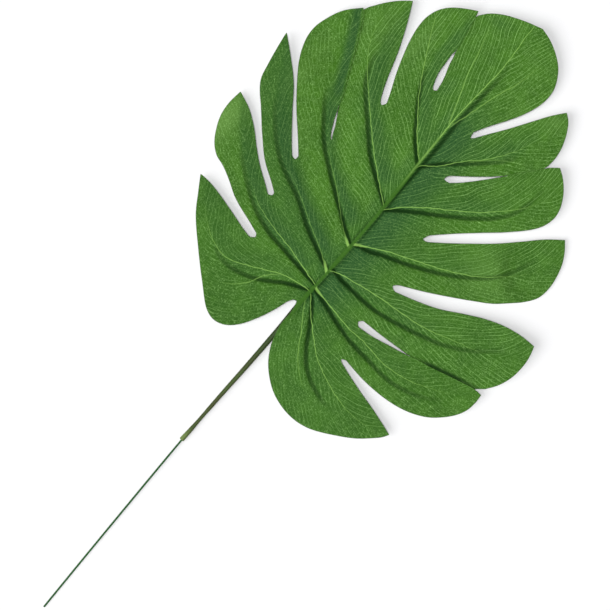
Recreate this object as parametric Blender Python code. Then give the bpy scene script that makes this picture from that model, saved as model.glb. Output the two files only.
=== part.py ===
"""Artificial monstera leaf: a printed fabric blade on a moulded stem and a coated wire, lying face up.

The drawing frame is in millimetres: x to the leaf's right, y up the midrib to the tip, z up, with
y = 0 at the notch where the stem meets the blade and z = 0 at the surface the leaf lies on.
Everything is moved at the end so that the middle of the whole leaf's base is the origin.
"""
import bmesh
import bpy
import numpy as np
from mathutils import Vector
from mathutils.geometry import delaunay_2d_cdt

MM = 0.001

# Sizes in millimetres
BLADE_THICKNESS = 0.75
MARGIN_STEP = 3.4
LATTICE_STEP = 7.5
LEVEL_OUT = 4.4
LEVEL_MIDRIB_EXTRA = 1.0
LEVEL_SPREAD = 14.0
RIDGE_HEIGHT = 1.2
RIDGE_HALF_WIDTH = 2.1
GROOVE_DEPTH = 1.1
GROOVE_HALF_WIDTH = 1.5
MIDRIB_GROOVE_DEPTH = 0.4
SEAM_HALF_GAP = 0.25
SEAM_STEP = 0.68
SEAM_PUSH = 0.75
PAD_RADIUS = 5.2
PAD_BLEND = 13.5
STEM_RADIUS = 1.3
STEM_NECK_RADIUS = 0.9
LIP_RADIUS = 1.28
WIRE_RADIUS = 0.5
BORE_RADIUS = WIRE_RADIUS + 0.32
BORE_DEPTH = 8.0
WIRE_INSERT = 7.0
ROUND_SIDES = 16

# Midrib, from below the notch to the tip
MIDRIB = [(2.6, -30), (2.4, -12), (2.2, 0), (2.6, 15), (3.2, 45), (3.0, 65), (2.2, 90), (1.7, 112),
          (1.4, 127), (2.0, 140), (3.0, 155), (3.0, 170), (5.8, 192)]

# Side veins, each from the midrib out to its lobe's end
VEINS = {
    "L1": [(2, 8), (-10, 3), (-20, -3.5), (-30, -8), (-42, -9.5), (-55, -4), (-68, 6), (-80, 16)],
    "L2": [(2, 12), (-20, 15.2), (-35, 17.5), (-45, 21), (-55, 26.5), (-68, 36), (-80, 47), (-92, 62)],
    "L3": [(2, 22), (-20, 32), (-35, 41), (-50, 47.7), (-62, 56), (-74, 69), (-84, 84), (-94, 101)],
    "L4": [(2, 40), (-20, 54.5), (-32, 63), (-42, 71), (-50, 80), (-58, 90.5), (-64, 102), (-69, 116), (-73, 136)],
    "L5": [(2, 67), (-20, 82), (-30, 92), (-40, 102), (-47, 110.5), (-51, 120), (-54, 134), (-55.2, 157)],
    "L6": [(1.8, 94), (-8, 104), (-14, 112), (-20, 121), (-25, 130.5), (-28, 140), (-29, 155), (-26.5, 175)],
    "R1": [(2.2, 92), (10, 101), (20, 110), (28, 117.5), (36, 126), (41, 138), (43.5, 164)],
    "R2": [(3, 64), (12, 71), (20, 76.5), (30, 83), (40, 90), (50, 98.5), (57, 108), (60, 122), (60, 140)],
    "R3": [(3.2, 41), (12, 43.5), (20, 47), (30, 50.5), (40, 55), (50, 60), (60, 66.5), (70, 75), (78, 88), (85.5, 113)],
    "R4": [(2.8, 24), (12, 22.8), (22, 22.2), (32, 22), (42, 23.3), (52, 25.4), (62, 28), (74, 32), (88, 40), (109, 61)],
    "R5": [(2.6, 10.5), (15, 7), (25, 4), (35, 1.5), (50, 0), (62, -1), (75, 1), (88, 7), (105, 23)],
    "R6": [(2.6, 7.5), (6, 5), (10, 0), (15, -8), (20, -16), (26, -22.8), (34, -28), (45, -31.5), (60, -31), (81, -23)],
}

# For each lobe: length of its pressed groove, fall per mm on the side towards the tip and on the side
# towards the stem, and how far its end is lifted (or droops) beyond the given distance along the vein
LOBES = {
    "L1": (46, 0.06, 0.04, -0.8, 40),
    "L2": (66, 0.15, 0.07, -1.4, 60),
    "L3": (76, 0.13, -0.03, 0.3, 50),
    "L4": (92, 0.17, 0.12, -1.3, 45),
    "L5": (78, 0.14, 0.11, -0.6, 45),
    "L6": (56, 0.12, 0.07, 0.4, 50),
    "TIP": (0, 0.03, 0.03, 0.6, 40),
    "R1": (44, 0.06, 0.08, 0.2, 40),
    "R2": (72, 0.07, 0.08, 0.5, 50),
    "R3": (80, 0.05, 0.06, -3.8, 20),
    "R4": (82, 0.05, 0.09, 1.8, 50),
    "R5": (74, 0.06, 0.07, -0.3, 60),
    "R6": (62, 0.08, 0.05, -0.6, 50),
}
# Where two lobes lie flat on the surface: the lobe, and the middle of its flat spot
PADS = {"L4": (-79, 109), "R3": (82, 88)}

# Lines that part one lobe from the next, from the midrib through the slit to beyond the margin
PARTINGS = {
    ("L1", "L2"): [(2.4, 10), (-38, 10.7), (-50, 13.8), (-60, 17.2), (-70, 21.2), (-80, 24), (-97, 28)],
    ("L2", "L3"): [(2.5, 17), (-20, 24.5), (-46, 33.3), (-60, 42.6), (-70, 51.3), (-80, 61.5), (-90, 68), (-102, 75)],
    ("L3", "L4"): [(2.8, 31), (-22, 42), (-48.5, 56), (-60, 68.2), (-70, 80.8), (-80, 92.5), (-94, 109)],
    ("L4", "L5"): [(3.2, 53), (-20, 63), (-40.3, 75), (-44.5, 82), (-48.5, 90), (-53, 100), (-58, 110.5),
                   (-62.5, 120), (-67.5, 130), (-71.7, 136.8), (-77, 146)],
    ("L5", "L6"): [(2.4, 82), (-16, 94), (-32.4, 106), (-38, 120), (-43.5, 136), (-48, 149), (-53, 166)],
    ("L6", "TIP"): [(1.7, 112), (-8, 120), (-16.5, 129.5), (-19.6, 141), (-21.2, 151.7), (-23.2, 161),
                    (-24.9, 170.6), (-26.5, 181)],
    ("R1", "TIP"): [(1.7, 112), (8, 117.5), (14, 123.5), (20, 132), (28.5, 146), (36, 160), (44, 176)],
    ("R2", "R1"): [(2.4, 84), (10, 91), (18, 98.5), (25, 103.8), (32.5, 111.3), (40.7, 119.5), (47, 126.5),
                   (52.3, 133.2), (58, 142)],
    ("R3", "R2"): [(3.1, 55), (15, 60), (30, 67), (40, 76), (50, 84.8), (60, 93.7), (70, 103.5), (80, 114), (88, 122)],
    ("R4", "R3"): [(3.0, 33), (18, 35), (33.5, 38.2), (45, 42.2), (60, 48.5), (75, 57.5), (90, 66), (106, 73)],
    ("R5", "R4"): [(2.7, 17), (15, 14.5), (31.8, 12), (48, 13.6), (62.7, 15.6), (75, 18), (85, 20.6),
                   (98.8, 24), (108, 26)],
    ("R6", "R5"): [(2.6, 8.5), (15, 1), (37.6, -8.4), (50, -11), (65, -13.5), (80, -15), (93, -16)],
}
# The inner end of each slit
SLIT_INNER = {
    ("L1", "L2"): (-38, 10.7), ("L2", "L3"): (-45.6, 33.2), ("L3", "L4"): (-48.6, 56), ("L4", "L5"): (-40.3, 75),
    ("L5", "L6"): (-32.4, 106), ("L6", "TIP"): (-16.5, 129.5), ("R1", "TIP"): (14, 123.5), ("R2", "R1"): (18, 98.5),
    ("R3", "R2"): (30, 67), ("R4", "R3"): (33.5, 38.2), ("R5", "R4"): (31.8, 12), ("R6", "R5"): (37.6, -8.4),
}
# Where two lobes lie one over the other: the first of each pair is on top
SEAMS = {
    ("L4", "L5"): ((-48.5, 90), (-71.7, 136.8)),
    ("L6", "TIP"): ((-21.2, 151.7), (-24.9, 170.6)),
    ("R2", "R1"): ((40.7, 119.5), (52.3, 133.2)),
    ("R5", "R4"): ((62.7, 15.6), (98.8, 24)),
}

# Margins, each a smooth run between two corners
LOBE_L1 = [(-3.4, -3.8), (-6, -12), (-10.2, -21.5), (-15, -29.3), (-20.5, -34.2), (-26.5, -35.8), (-32.5, -34),
           (-43, -25.2), (-56, -13.2), (-69, 0), (-75.8, 10), (-80.6, 17.3)]
SLIT_1_LOW = [(-80.6, 17.3), (-75, 17.1), (-68, 15.9), (-55, 12.6), (-45, 9.8), (-40.3, 8.9)]
SLIT_1_HIGH = [(-38.9, 12.9), (-45, 15), (-55, 18.2), (-60, 20.3), (-68, 25), (-75, 28.4), (-80.5, 30.2),
               (-85.5, 34.2), (-89.5, 40.2), (-92.5, 47.5), (-93.4, 55), (-92.7, 63.2)]
SLIT_2_LOW = [(-92.7, 63.2), (-88.5, 61.6), (-83.5, 59.4), (-75, 53.4), (-68, 47), (-60, 40.5), (-52, 35.2),
              (-47.3, 31.9)]
SLIT_2_HIGH = [(-45.4, 35), (-50, 38.2), (-60, 44.7), (-70, 54.3), (-80, 65), (-85, 70), (-88.8, 75.4),
               (-91, 84), (-92.8, 93), (-94.3, 102.1)]
SLIT_3_LOW = [(-94.3, 102.1), (-85, 94.3), (-75, 85), (-65, 72.2), (-55, 60), (-50.8, 55.4)]
SLIT_3_HIGH = [(-48, 57.6), (-55, 65.3), (-65, 75.9), (-75, 88.3), (-80, 95.5), (-83.2, 102), (-85.1, 108.5),
               (-85.2, 115), (-83.5, 121.2), (-79.5, 130), (-73, 137.6)]
LOBE_L5 = [(-70, 140.5), (-65, 147.8), (-60, 153.2), (-55.2, 157.2)]
SLIT_5_LOW = [(-55.2, 157.2), (-51.5, 150), (-44.5, 134), (-38.5, 116.5), (-35.8, 110), (-34.4, 107.2)]
SLIT_5_HIGH = [(-30.8, 108.2), (-33.3, 114.5), (-37, 123), (-40.2, 132), (-42.7, 140.5), (-44.2, 149),
               (-44.1, 155.5), (-42, 162), (-38, 167.2), (-32, 171.8), (-26.4, 175.1)]
HOLE_6_LEFT = [(-21, 145), (-20, 138), (-18.6, 132.5), (-17.7, 129.6)]
HOLE_6_RIGHT = [(-15.6, 130.2), (-17.4, 137), (-19.4, 144.5)]
LOBE_TIP_LEFT = [(-23.6, 173.8), (-20, 178.3), (-15, 182), (-9, 184.9), (-2, 187.5), (5.8, 189.7)]
LOBE_TIP_RIGHT = [(5.8, 189.7), (12, 188), (18.5, 184.8), (24.5, 180.2), (28.3, 175), (30.6, 169.5), (31, 164),
                  (30, 158), (27, 150), (22.5, 141.8), (17, 133), (13.2, 126.2)]
SLIT_7_RIGHT = [(16.1, 124.5), (20, 130.3), (26, 139), (33, 150), (38.5, 158.5), (43.5, 164.9)]
LOBE_R1 = [(43.5, 164.9), (47, 162), (50.5, 156.5), (53, 150), (53.9, 144), (53.6, 138.5)]
HOLE_8_HIGH = [(35, 114.3), (30, 110), (25, 105.9), (20, 102), (18.2, 100.5)]
HOLE_8_LOW = [(20.9, 97.6), (25, 101.3), (30, 106.6), (35, 112.3)]
LOBE_R2_TOP = [(55.8, 137), (59.9, 140.5)]
LOBE_R2 = [(59.9, 140.5), (64.5, 137.3), (69.5, 131.8), (73, 125.3), (74.1, 119.5), (72.8, 113.5), (69.5, 107.8),
           (60, 97.7), (50, 88.7), (40, 79.6), (30.6, 70.4)]
SLIT_9_LOW = [(32.3, 66.9), (40, 72.8), (50, 81), (60, 89.6), (70, 99.6), (78, 107.8), (85.9, 114.2)]
LOBE_R3 = [(85.9, 114.2), (89.5, 109.8), (92.8, 104), (95, 97), (95.9, 89.5), (94.8, 82.5), (90.5, 76), (85, 70.5),
           (79, 65), (70, 59.2), (59, 52.7), (48, 46.6), (40, 42.6), (35.6, 40.5)]
SLIT_10_LOW = [(36, 36.2), (45, 38.9), (52, 41.3), (60, 44.6), (70, 50.2), (80, 55.4), (90, 59.2), (100, 61.2),
               (109.2, 61.5)]
LOBE_R4 = [(109.2, 61.5), (110.9, 56), (111.6, 50), (111, 42), (108.6, 35), (104.5, 29)]
HOLE_11_HIGH = [(55, 15.3), (45, 14.6), (35.5, 14.3), (33.4, 14.2)]
HOLE_11_LOW = [(33.6, 10), (42, 10.8), (50, 12.5), (57, 14)]
LOBE_R5_TOP = [(102, 23.9), (105, 23.8)]
LOBE_R5 = [(105, 23.8), (105.2, 19), (104.3, 13.5), (101.5, 8), (97, 2.7), (91.5, -2), (84, -5.8), (75, -8.3),
           (64, -9.4), (52, -9), (44, -7.9), (40, -7.2)]
SLIT_12_LOW = [(39.3, -10), (46, -12.1), (56, -15), (66, -17.5), (76, -20.4), (81.9, -22.3)]
LOBE_R6 = [(81.9, -22.3), (79.8, -25.6), (76, -29.5), (70, -34.8), (60, -41), (50, -46), (44, -47.7),
           (37.5, -48.2), (30, -47.2), (22, -44.3), (15, -39.5), (9.5, -33.9), (5.3, -27), (3, -20.5), (1.8, -14),
           (1.9, -8), (1.4, -3.5)]

# Stem and wire, as (y, x, height of the middle)
STEM_AXIS = [(96, 2.0, 4.85), (70, 2.9, 4.85), (45, 3.2, 4.85), (20, 2.75, 4.85), (0, 2.2, 4.65), (-20, 2.55, 3.4),
             (-45, 2.4, 2.7), (-60, 2.1, 2.45), (-80, 1.85, 2.15), (-94.5, 1.7, 1.95)]
WIRE_AXIS = [(-94.5, 1.7, 1.95), (-110, 1.85, 1.7), (-150, 2.45, 1.0), (-180, 3.0, 0.65), (-207.6, 3.6, 0.5)]


def spline(points, step):
    """Points about a step apart on a smooth curve through the given ones."""
    p = np.array(points, float)
    p = np.vstack([2 * p[0] - p[1], p, 2 * p[-1] - p[-2]])
    out = []
    for i in range(1, len(p) - 2):
        a, b, c, d = p[i - 1:i + 3]
        t0 = 0.0
        t1 = t0 + np.linalg.norm(b - a) ** 0.5
        t2 = t1 + np.linalg.norm(c - b) ** 0.5
        t3 = t2 + np.linalg.norm(d - c) ** 0.5
        n = max(1, int(round(np.linalg.norm(c - b) / step)))
        for t in np.linspace(t1, t2, n, endpoint=False):
            ab = (t1 - t) / (t1 - t0) * a + (t - t0) / (t1 - t0) * b
            bc = (t2 - t) / (t2 - t1) * b + (t - t1) / (t2 - t1) * c
            cd = (t3 - t) / (t3 - t2) * c + (t - t2) / (t3 - t2) * d
            abc = (t2 - t) / (t2 - t0) * ab + (t - t0) / (t2 - t0) * bc
            bcd = (t3 - t) / (t3 - t1) * bc + (t - t1) / (t3 - t1) * cd
            out.append((t2 - t) / (t2 - t1) * abc + (t - t1) / (t2 - t1) * bcd)
    out.append(p[-2])
    return np.array(out)


def slit_end(start, inner, stop):
    """The blunt round end of a slit, between the last points of its two edges."""
    a, m, b = (np.array(q, float) for q in (start, inner, stop))
    return [0.72 * a + 0.28 * m + 0.2 * (m - 0.5 * (a + b)), m, 0.72 * b + 0.28 * m + 0.2 * (m - 0.5 * (a + b))]


def nearest(pts, line):
    """Distance, side (+1 on the left), length along, and left normal, at the nearest place on a line."""
    a = line[:-1]
    d = line[1:] - a
    length = np.linalg.norm(d, axis=1)
    along = np.concatenate([[0], np.cumsum(length)])[:-1]
    rel = pts[:, None, :] - a[None]
    t = np.clip((rel * d).sum(2) / (length ** 2), 0, 1)
    off = rel - t[..., None] * d
    dist = np.linalg.norm(off, axis=2)
    k = dist.argmin(1)
    r = np.arange(len(pts))
    cross = d[k, 0] * off[r, k, 1] - d[k, 1] * off[r, k, 0]
    normal = np.stack([-d[k, 1], d[k, 0]], 1) / length[k, None]
    return dist[r, k], np.where(cross >= 0, 1.0, -1.0), along[k] + t[r, k] * length[k], normal


def smooth(x, lo, hi):
    """0 below lo, 1 above hi, and an easy curve between."""
    t = np.clip((x - lo) / (hi - lo), 0, 1)
    return t * t * (3 - 2 * t)


def seam_edge(pair, side, outward):
    """One side of the narrow gap where two lobes meet, from its inner end to the margin or back."""
    line = spline(PARTINGS[pair], 1.0)
    first = SLIT_INNER[pair] if pair == ("L4", "L5") else SEAMS[pair][0]
    i = int(np.linalg.norm(line - np.array(first), axis=1).argmin())
    j = int(np.linalg.norm(line - np.array(SEAMS[pair][1]), axis=1).argmin())
    part = line[i:j + 1]
    keep = np.unique(np.linspace(0, len(part) - 1, max(3, int(len(part) / MARGIN_STEP))).astype(int))
    part = part[keep]
    tangent = np.gradient(part, axis=0)
    tangent /= np.linalg.norm(tangent, axis=1)[:, None]
    left = np.stack([-tangent[:, 1], tangent[:, 0]], 1)
    edge = part + left * side * SEAM_HALF_GAP
    return edge if outward else edge[::-1]


def margin():
    """The cut edge of the blade as one closed loop, clockwise from the notch at the stem."""
    s = MARGIN_STEP
    loop = []

    def run(points, step=s):
        loop.extend(spline(points, step))

    run(LOBE_L1)
    run(SLIT_1_LOW)
    run(slit_end(SLIT_1_LOW[-1], (-37.6, 10.7), SLIT_1_HIGH[0]), 1.5)
    run(SLIT_1_HIGH)
    run(SLIT_2_LOW)
    run(slit_end(SLIT_2_LOW[-1], (-45, 33), SLIT_2_HIGH[0]), 1.5)
    run(SLIT_2_HIGH)
    run(SLIT_3_LOW)
    run(slit_end(SLIT_3_LOW[-1], (-48.2, 55), SLIT_3_HIGH[0]), 1.5)
    run(SLIT_3_HIGH)
    loop.extend(seam_edge(("L4", "L5"), 1, False))
    loop.extend(seam_edge(("L4", "L5"), -1, True))
    run(LOBE_L5)
    run(SLIT_5_LOW)
    run(slit_end(SLIT_5_LOW[-1], (-32.3, 105.6), SLIT_5_HIGH[0]), 1.5)
    run(SLIT_5_HIGH)
    loop.extend(seam_edge(("L6", "TIP"), 1, False))
    run(HOLE_6_LEFT)
    run(slit_end(HOLE_6_LEFT[-1], (-16.5, 129), HOLE_6_RIGHT[0]), 1.5)
    run(HOLE_6_RIGHT)
    loop.extend(seam_edge(("L6", "TIP"), -1, True))
    run(LOBE_TIP_LEFT)
    run(LOBE_TIP_RIGHT)
    run(slit_end(LOBE_TIP_RIGHT[-1], (13.9, 122.5), SLIT_7_RIGHT[0]), 1.5)
    run(SLIT_7_RIGHT)
    run(LOBE_R1)
    loop.extend(seam_edge(("R2", "R1"), 1, False))
    run(HOLE_8_HIGH)
    run(slit_end(HOLE_8_HIGH[-1], (17.4, 97.4), HOLE_8_LOW[0]), 1.5)
    run(HOLE_8_LOW)
    loop.extend(seam_edge(("R2", "R1"), -1, True))
    run(LOBE_R2_TOP)
    run(LOBE_R2)
    run(slit_end(LOBE_R2[-1], (29.3, 66.6), SLIT_9_LOW[0]), 1.5)
    run(SLIT_9_LOW)
    run(LOBE_R3)
    run(slit_end(LOBE_R3[-1], (33.1, 37.8), SLIT_10_LOW[0]), 1.5)
    run(SLIT_10_LOW)
    run(LOBE_R4)
    loop.extend(seam_edge(("R5", "R4"), 1, False))
    run(HOLE_11_HIGH)
    run(slit_end(HOLE_11_HIGH[-1], (31.5, 12), HOLE_11_LOW[0]), 1.5)
    run(HOLE_11_LOW)
    loop.extend(seam_edge(("R5", "R4"), -1, True))
    run(LOBE_R5_TOP)
    run(LOBE_R5)
    run(slit_end(LOBE_R5[-1], (37.5, -8.5), SLIT_12_LOW[0]), 1.5)
    run(SLIT_12_LOW)
    run(LOBE_R6)
    run([LOBE_R6[-1], (0.2, -0.5), (-1.6, -1.1), LOBE_L1[0]], 1.2)
    kept = [loop[0]]
    for p in loop[1:]:
        if np.linalg.norm(p - kept[-1]) > 0.12:
            kept.append(p)
    if np.linalg.norm(kept[-1] - kept[0]) < 0.12:
        kept.pop()
    return np.array(kept)


def midrib_offset(pts):
    """Distance across from the midrib, positive on the right."""
    line = spline(MIDRIB, 2.0)
    return pts[:, 0] - np.interp(pts[:, 1], line[:, 1], line[:, 0])


def lobe_height(name, pts, level):
    """Height of one lobe's underside: a soft roof along its vein, with its end bent up or down."""
    groove, tip_side, stem_side, lift, lift_from = LOBES[name]
    if name == "TIP":
        across = np.abs(midrib_offset(pts))
        along = pts[:, 1] - 112.0
        fall = tip_side * (np.sqrt(across ** 2 + 16.0) - 4.0)
        return level + lift * np.clip((along - lift_from) / 40, 0, 2) ** 2 - fall * smooth(along, 5, 35)
    line = spline(VEINS[name], 3.0)
    dist, side, along, _ = nearest(pts, line)
    side = side if name[0] == "R" else -side
    total = np.linalg.norm(np.diff(line, axis=0), axis=1).sum()
    d = dist * side
    soft = np.sqrt(d ** 2 + 9.0) - 3.0
    fall = np.where(d > 0, tip_side, stem_side) * soft
    ratio = np.clip((along - lift_from) / (total - lift_from), 0, 1)
    bend = lift * (smooth(ratio, 0, 1) if name == "R3" else ratio ** 2)
    z = level + bend - fall * smooth(along, 4, 32)
    if name in PADS:
        r = np.linalg.norm(pts - np.array(PADS[name], float), axis=1)
        z = z * smooth(r, PAD_RADIUS, PAD_RADIUS + PAD_BLEND)
    return z


def groove_depth(pts):
    """Depth of the pressed side-vein grooves and of the grooves beside the midrib."""
    depth = np.zeros(len(pts))
    dx = midrib_offset(pts)
    clear = smooth(np.abs(dx), 3.0, 8.0)
    for name, points in VEINS.items():
        reach = LOBES[name][0]
        dist, _, along, _ = nearest(pts, spline(points, 3.0))
        fade = np.clip(1 - along / reach, 0, 1) ** 0.6
        depth = np.maximum(depth, GROOVE_DEPTH * fade * np.exp(-(dist / GROOVE_HALF_WIDTH) ** 2) * clear)
    y = pts[:, 1]
    right = smooth(y, -4, 6) * (1 - smooth(y, 110, 160)) * np.exp(-((dx - 4.0) / 1.5) ** 2)
    left = smooth(y, -2, 8) * (1 - smooth(y, 60, 84)) * np.exp(-((dx + 4.0) / 1.5) ** 2)
    return np.maximum(depth, MIDRIB_GROOVE_DEPTH * np.maximum(right, left))


def surface(pts):
    """Height of the blade's underside, and where each point lies once the lobes overlap."""
    names = sorted({n for pair in PARTINGS for n in pair})
    dx = midrib_offset(pts)
    wave = 0.22 * np.sin(pts[:, 0] / 9.0 + 0.6) * np.sin(pts[:, 1] / 11.0) * smooth(np.abs(dx), 15, 45)
    level = LEVEL_OUT + LEVEL_MIDRIB_EXTRA * np.exp(-np.abs(dx) / LEVEL_SPREAD) + wave
    heights = {n: lobe_height(n, pts, level) for n in names}
    left = dx < 0
    best = np.full(len(pts), 1e9)
    lobes = np.zeros(len(pts))
    lift = np.zeros(len(pts))
    push = np.zeros((len(pts), 2))
    for pair, points in PARTINGS.items():
        on_left = pair[0][0] == "L"
        line = spline(points, 2.0)
        dist, side, along, normal = nearest(pts, line)
        flip = -1.0 if on_left else 1.0
        d = dist * side * flip
        _, _, inner, _ = nearest(np.array([SLIT_INNER[pair]], float), line)
        near_h, far_h = heights[pair[0]], heights[pair[1]]
        half = np.where(along < inner[0], 0.24 + 0.35 * np.clip(inner[0] - along, 0, 22), 0.24)
        w = smooth(d, -half, half)
        value = near_h * (1 - w) + far_h * w
        raise_by = np.zeros(len(pts))
        shift = np.zeros((len(pts), 2))
        even = np.exp(-((along - inner[0]) / 9.0) ** 2)
        if pair in SEAMS:
            even = np.maximum(even, smooth(along, inner[0], inner[0] + 9))
        mix = even * np.exp(-(d / 5.0) ** 2)
        value = value * (1 - mix) + 0.5 * (near_h + far_h) * mix
        if pair in SEAMS:
            ramp = smooth(along, inner[0], inner[0] + 13)
            raise_by = np.where(d < 0, 1, -1) * SEAM_STEP * ramp * np.exp(-(d / 7.0) ** 4)
            _, _, start, _ = nearest(np.array([SEAMS[pair][0]], float), line)
            closing = smooth(along, start[0] - 4, start[0] + 12)
            amount = np.where(d < 0, 1, -1) * SEAM_PUSH * closing * np.exp(-(d / 8.0) ** 2)
            shift = normal * flip * amount[:, None]
        use = (left if on_left else ~left) & (dist < best)
        best = np.where(use, dist, best)
        lobes = np.where(use, value, lobes)
        lift = np.where(use, raise_by, lift)
        push = np.where(use[:, None], shift, push)
    y = pts[:, 1]
    height = RIDGE_HEIGHT * smooth(y, -26, -2) * (1 - 0.75 * smooth(y, 96, 124)) * (1 - smooth(y, 140, 186))
    ridge = height * np.exp(-(dx / RIDGE_HALF_WIDTH) ** 2)
    z = lobes + lift + ridge - groove_depth(pts) * smooth(lobes, 0.2, 1.5)
    return z, pts + push


def inside(pts, loop):
    """True for the points within the loop."""
    x, y = pts[:, 0][:, None], pts[:, 1][:, None]
    x0, y0 = loop[:, 0], loop[:, 1]
    x1, y1 = np.roll(x0, -1), np.roll(y0, -1)
    crosses = (y0 > y) != (y1 > y)
    with np.errstate(divide="ignore", invalid="ignore"):
        at = x0 + (y - y0) * (x1 - x0) / (y1 - y0)
    return (crosses & (x < at)).sum(1) % 2 == 1


def inner_points(loop):
    """Points within the margin: rows beside the midrib and grooves, the pads' rings, and a lattice."""
    chosen = []
    coarse, fine = spline(MIDRIB, 5.0), spline(MIDRIB, 1.8)
    rib = np.vstack([fine[(fine[:, 1] > -29) & (fine[:, 1] < 9)], coarse[coarse[:, 1] > 9]])
    for off in (0.0, -1.5, 1.5, -3.6, 3.6):
        upper = 170 if off == 0 else 112
        rows = rib[rib[:, 1] < upper]
        chosen.append((rows + np.array([off, 0.0]), 0.5))
    for pad in PADS.values():
        angles = np.arange(10) * 2 * np.pi / 10
        ring = np.array(pad) + 4.6 * np.stack([np.cos(angles), np.sin(angles)], 1)
        chosen.append((np.vstack([ring, [pad]]), 1.5))
    for name, points in VEINS.items():
        line = spline(points, 4.6)
        reach = np.concatenate([[0], np.cumsum(np.linalg.norm(np.diff(line, axis=0), axis=1))])
        line = line[(reach < LOBES[name][0]) & (reach > 3)]
        tangent = np.gradient(line, axis=0)
        tangent /= np.linalg.norm(tangent, axis=1)[:, None]
        across = np.stack([-tangent[:, 1], tangent[:, 0]], 1)
        for off in (0.0, -2.3, 2.3):
            chosen.append((line + across * off, 1.4))
    xs = np.arange(-96, 114, LATTICE_STEP)
    rows = []
    for i, y in enumerate(np.arange(-48, 190, LATTICE_STEP * 0.866)):
        rows.append(np.stack([xs + (i % 2) * LATTICE_STEP / 2, np.full(len(xs), y)], 1))
    chosen.append((np.vstack(rows), LATTICE_STEP * 0.5))
    closed = np.vstack([loop, loop[:1]])
    kept = np.zeros((0, 2))
    for pts, room in chosen:
        pts = pts[inside(pts, loop)]
        pts = pts[nearest(pts, closed)[0] > min(room, 1.3)]
        for p in pts:
            if len(kept) == 0 or np.linalg.norm(kept - p, axis=1).min() > room:
                kept = np.vstack([kept, p])
    return kept


def clear_scene():
    for obj in list(bpy.data.objects):
        bpy.data.objects.remove(obj, do_unlink=True)


def principled(name, colour, roughness):
    """A plain material for one kind of stuff."""
    mat = bpy.data.materials.new(name)
    mat.use_nodes = True
    shader = mat.node_tree.nodes["Principled BSDF"]
    shader.inputs["Base Color"].default_value = (*colour, 1.0)
    shader.inputs["Roughness"].default_value = roughness
    mat.diffuse_color = (*colour, 1.0)
    return mat


def mesh_object(name, verts, faces, material, collection):
    """A named object from points in millimetres and faces."""
    mesh = bpy.data.meshes.new(name)
    mesh.from_pydata([tuple(float(c) * MM for c in v) for v in verts], [], [tuple(f) for f in faces])
    bm = bmesh.new()
    bm.from_mesh(mesh)
    bmesh.ops.triangulate(bm, faces=bm.faces[:])
    bmesh.ops.recalc_face_normals(bm, faces=bm.faces[:])
    bm.to_mesh(mesh)
    bm.free()
    mesh.materials.append(material)
    obj = bpy.data.objects.new(name, mesh)
    collection.objects.link(obj)
    return obj


def build_blade(material, collection):
    """The blade: one sheet with the same triangles on both faces."""
    loop = margin()[::-1]
    points = np.vstack([loop, inner_points(loop)])
    verts, _, tris, *_ = delaunay_2d_cdt([Vector(p) for p in points], [], [list(range(len(loop)))], 1, 1e-4)
    flat = np.array([(v.x, v.y) for v in verts])
    z, placed = surface(flat)
    z = np.maximum(z, 0.0)
    n = len(flat)
    under = [(placed[i, 0], placed[i, 1], z[i]) for i in range(n)]
    top = [(placed[i, 0], placed[i, 1], z[i] + BLADE_THICKNESS) for i in range(n)]
    edges = {}
    for t in tris:
        for a, b in zip(t, t[1:] + t[:1]):
            edges[(a, b)] = True
    faces = [tuple(reversed(t)) for t in tris]
    faces += [tuple(i + n for i in t) for t in tris]
    faces += [(a, b, b + n, a + n) for (a, b) in edges if (b, a) not in edges]
    return mesh_object("leaf_blade", under + top, faces, material, collection)


def tube(sections, sides, cap_start, cap_end):
    """A closed skin over round sections, each (centre, radius, right, up), with flat or no caps."""
    verts = []
    faces = []
    for centre, radius, right, up in sections:
        for k in range(sides):
            a = 2 * np.pi * (k + 0.5) / sides
            verts.append(centre + radius * (np.cos(a) * right + np.sin(a) * up))
    for i in range(len(sections) - 1):
        for k in range(sides):
            m = (k + 1) % sides
            faces.append((i * sides + k, i * sides + m, (i + 1) * sides + m, (i + 1) * sides + k))
    if cap_start:
        faces.append(tuple(range(sides)))
    if cap_end:
        base = (len(sections) - 1) * sides
        faces.append(tuple(base + k for k in range(sides)))
    return verts, faces


def axis_at(table, y):
    """Middle of the stem or wire at a distance down the leaf."""
    rows = sorted(table)
    ys = [r[0] for r in rows]
    return np.array([np.interp(y, ys, [r[1] for r in rows]), y, np.interp(y, ys, [r[2] for r in rows])])


def smooth_axis(table):
    """The same axis with its bends rounded, as rows of (y, x, z)."""
    return [tuple(r) for r in spline([(r[0], r[1], r[2]) for r in table], 3.0)]


def section(table, y, radius, shift=0.0):
    """A round section across the axis at one distance down the leaf."""
    a, b = axis_at(table, y + 0.5), axis_at(table, y - 0.5)
    along = (b - a) / np.linalg.norm(b - a)
    right = np.cross(along, np.array([0.0, 0.0, 1.0]))
    right /= np.linalg.norm(right)
    up = np.cross(right, along)
    return axis_at(table, y) + right * shift, radius, right, up


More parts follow.
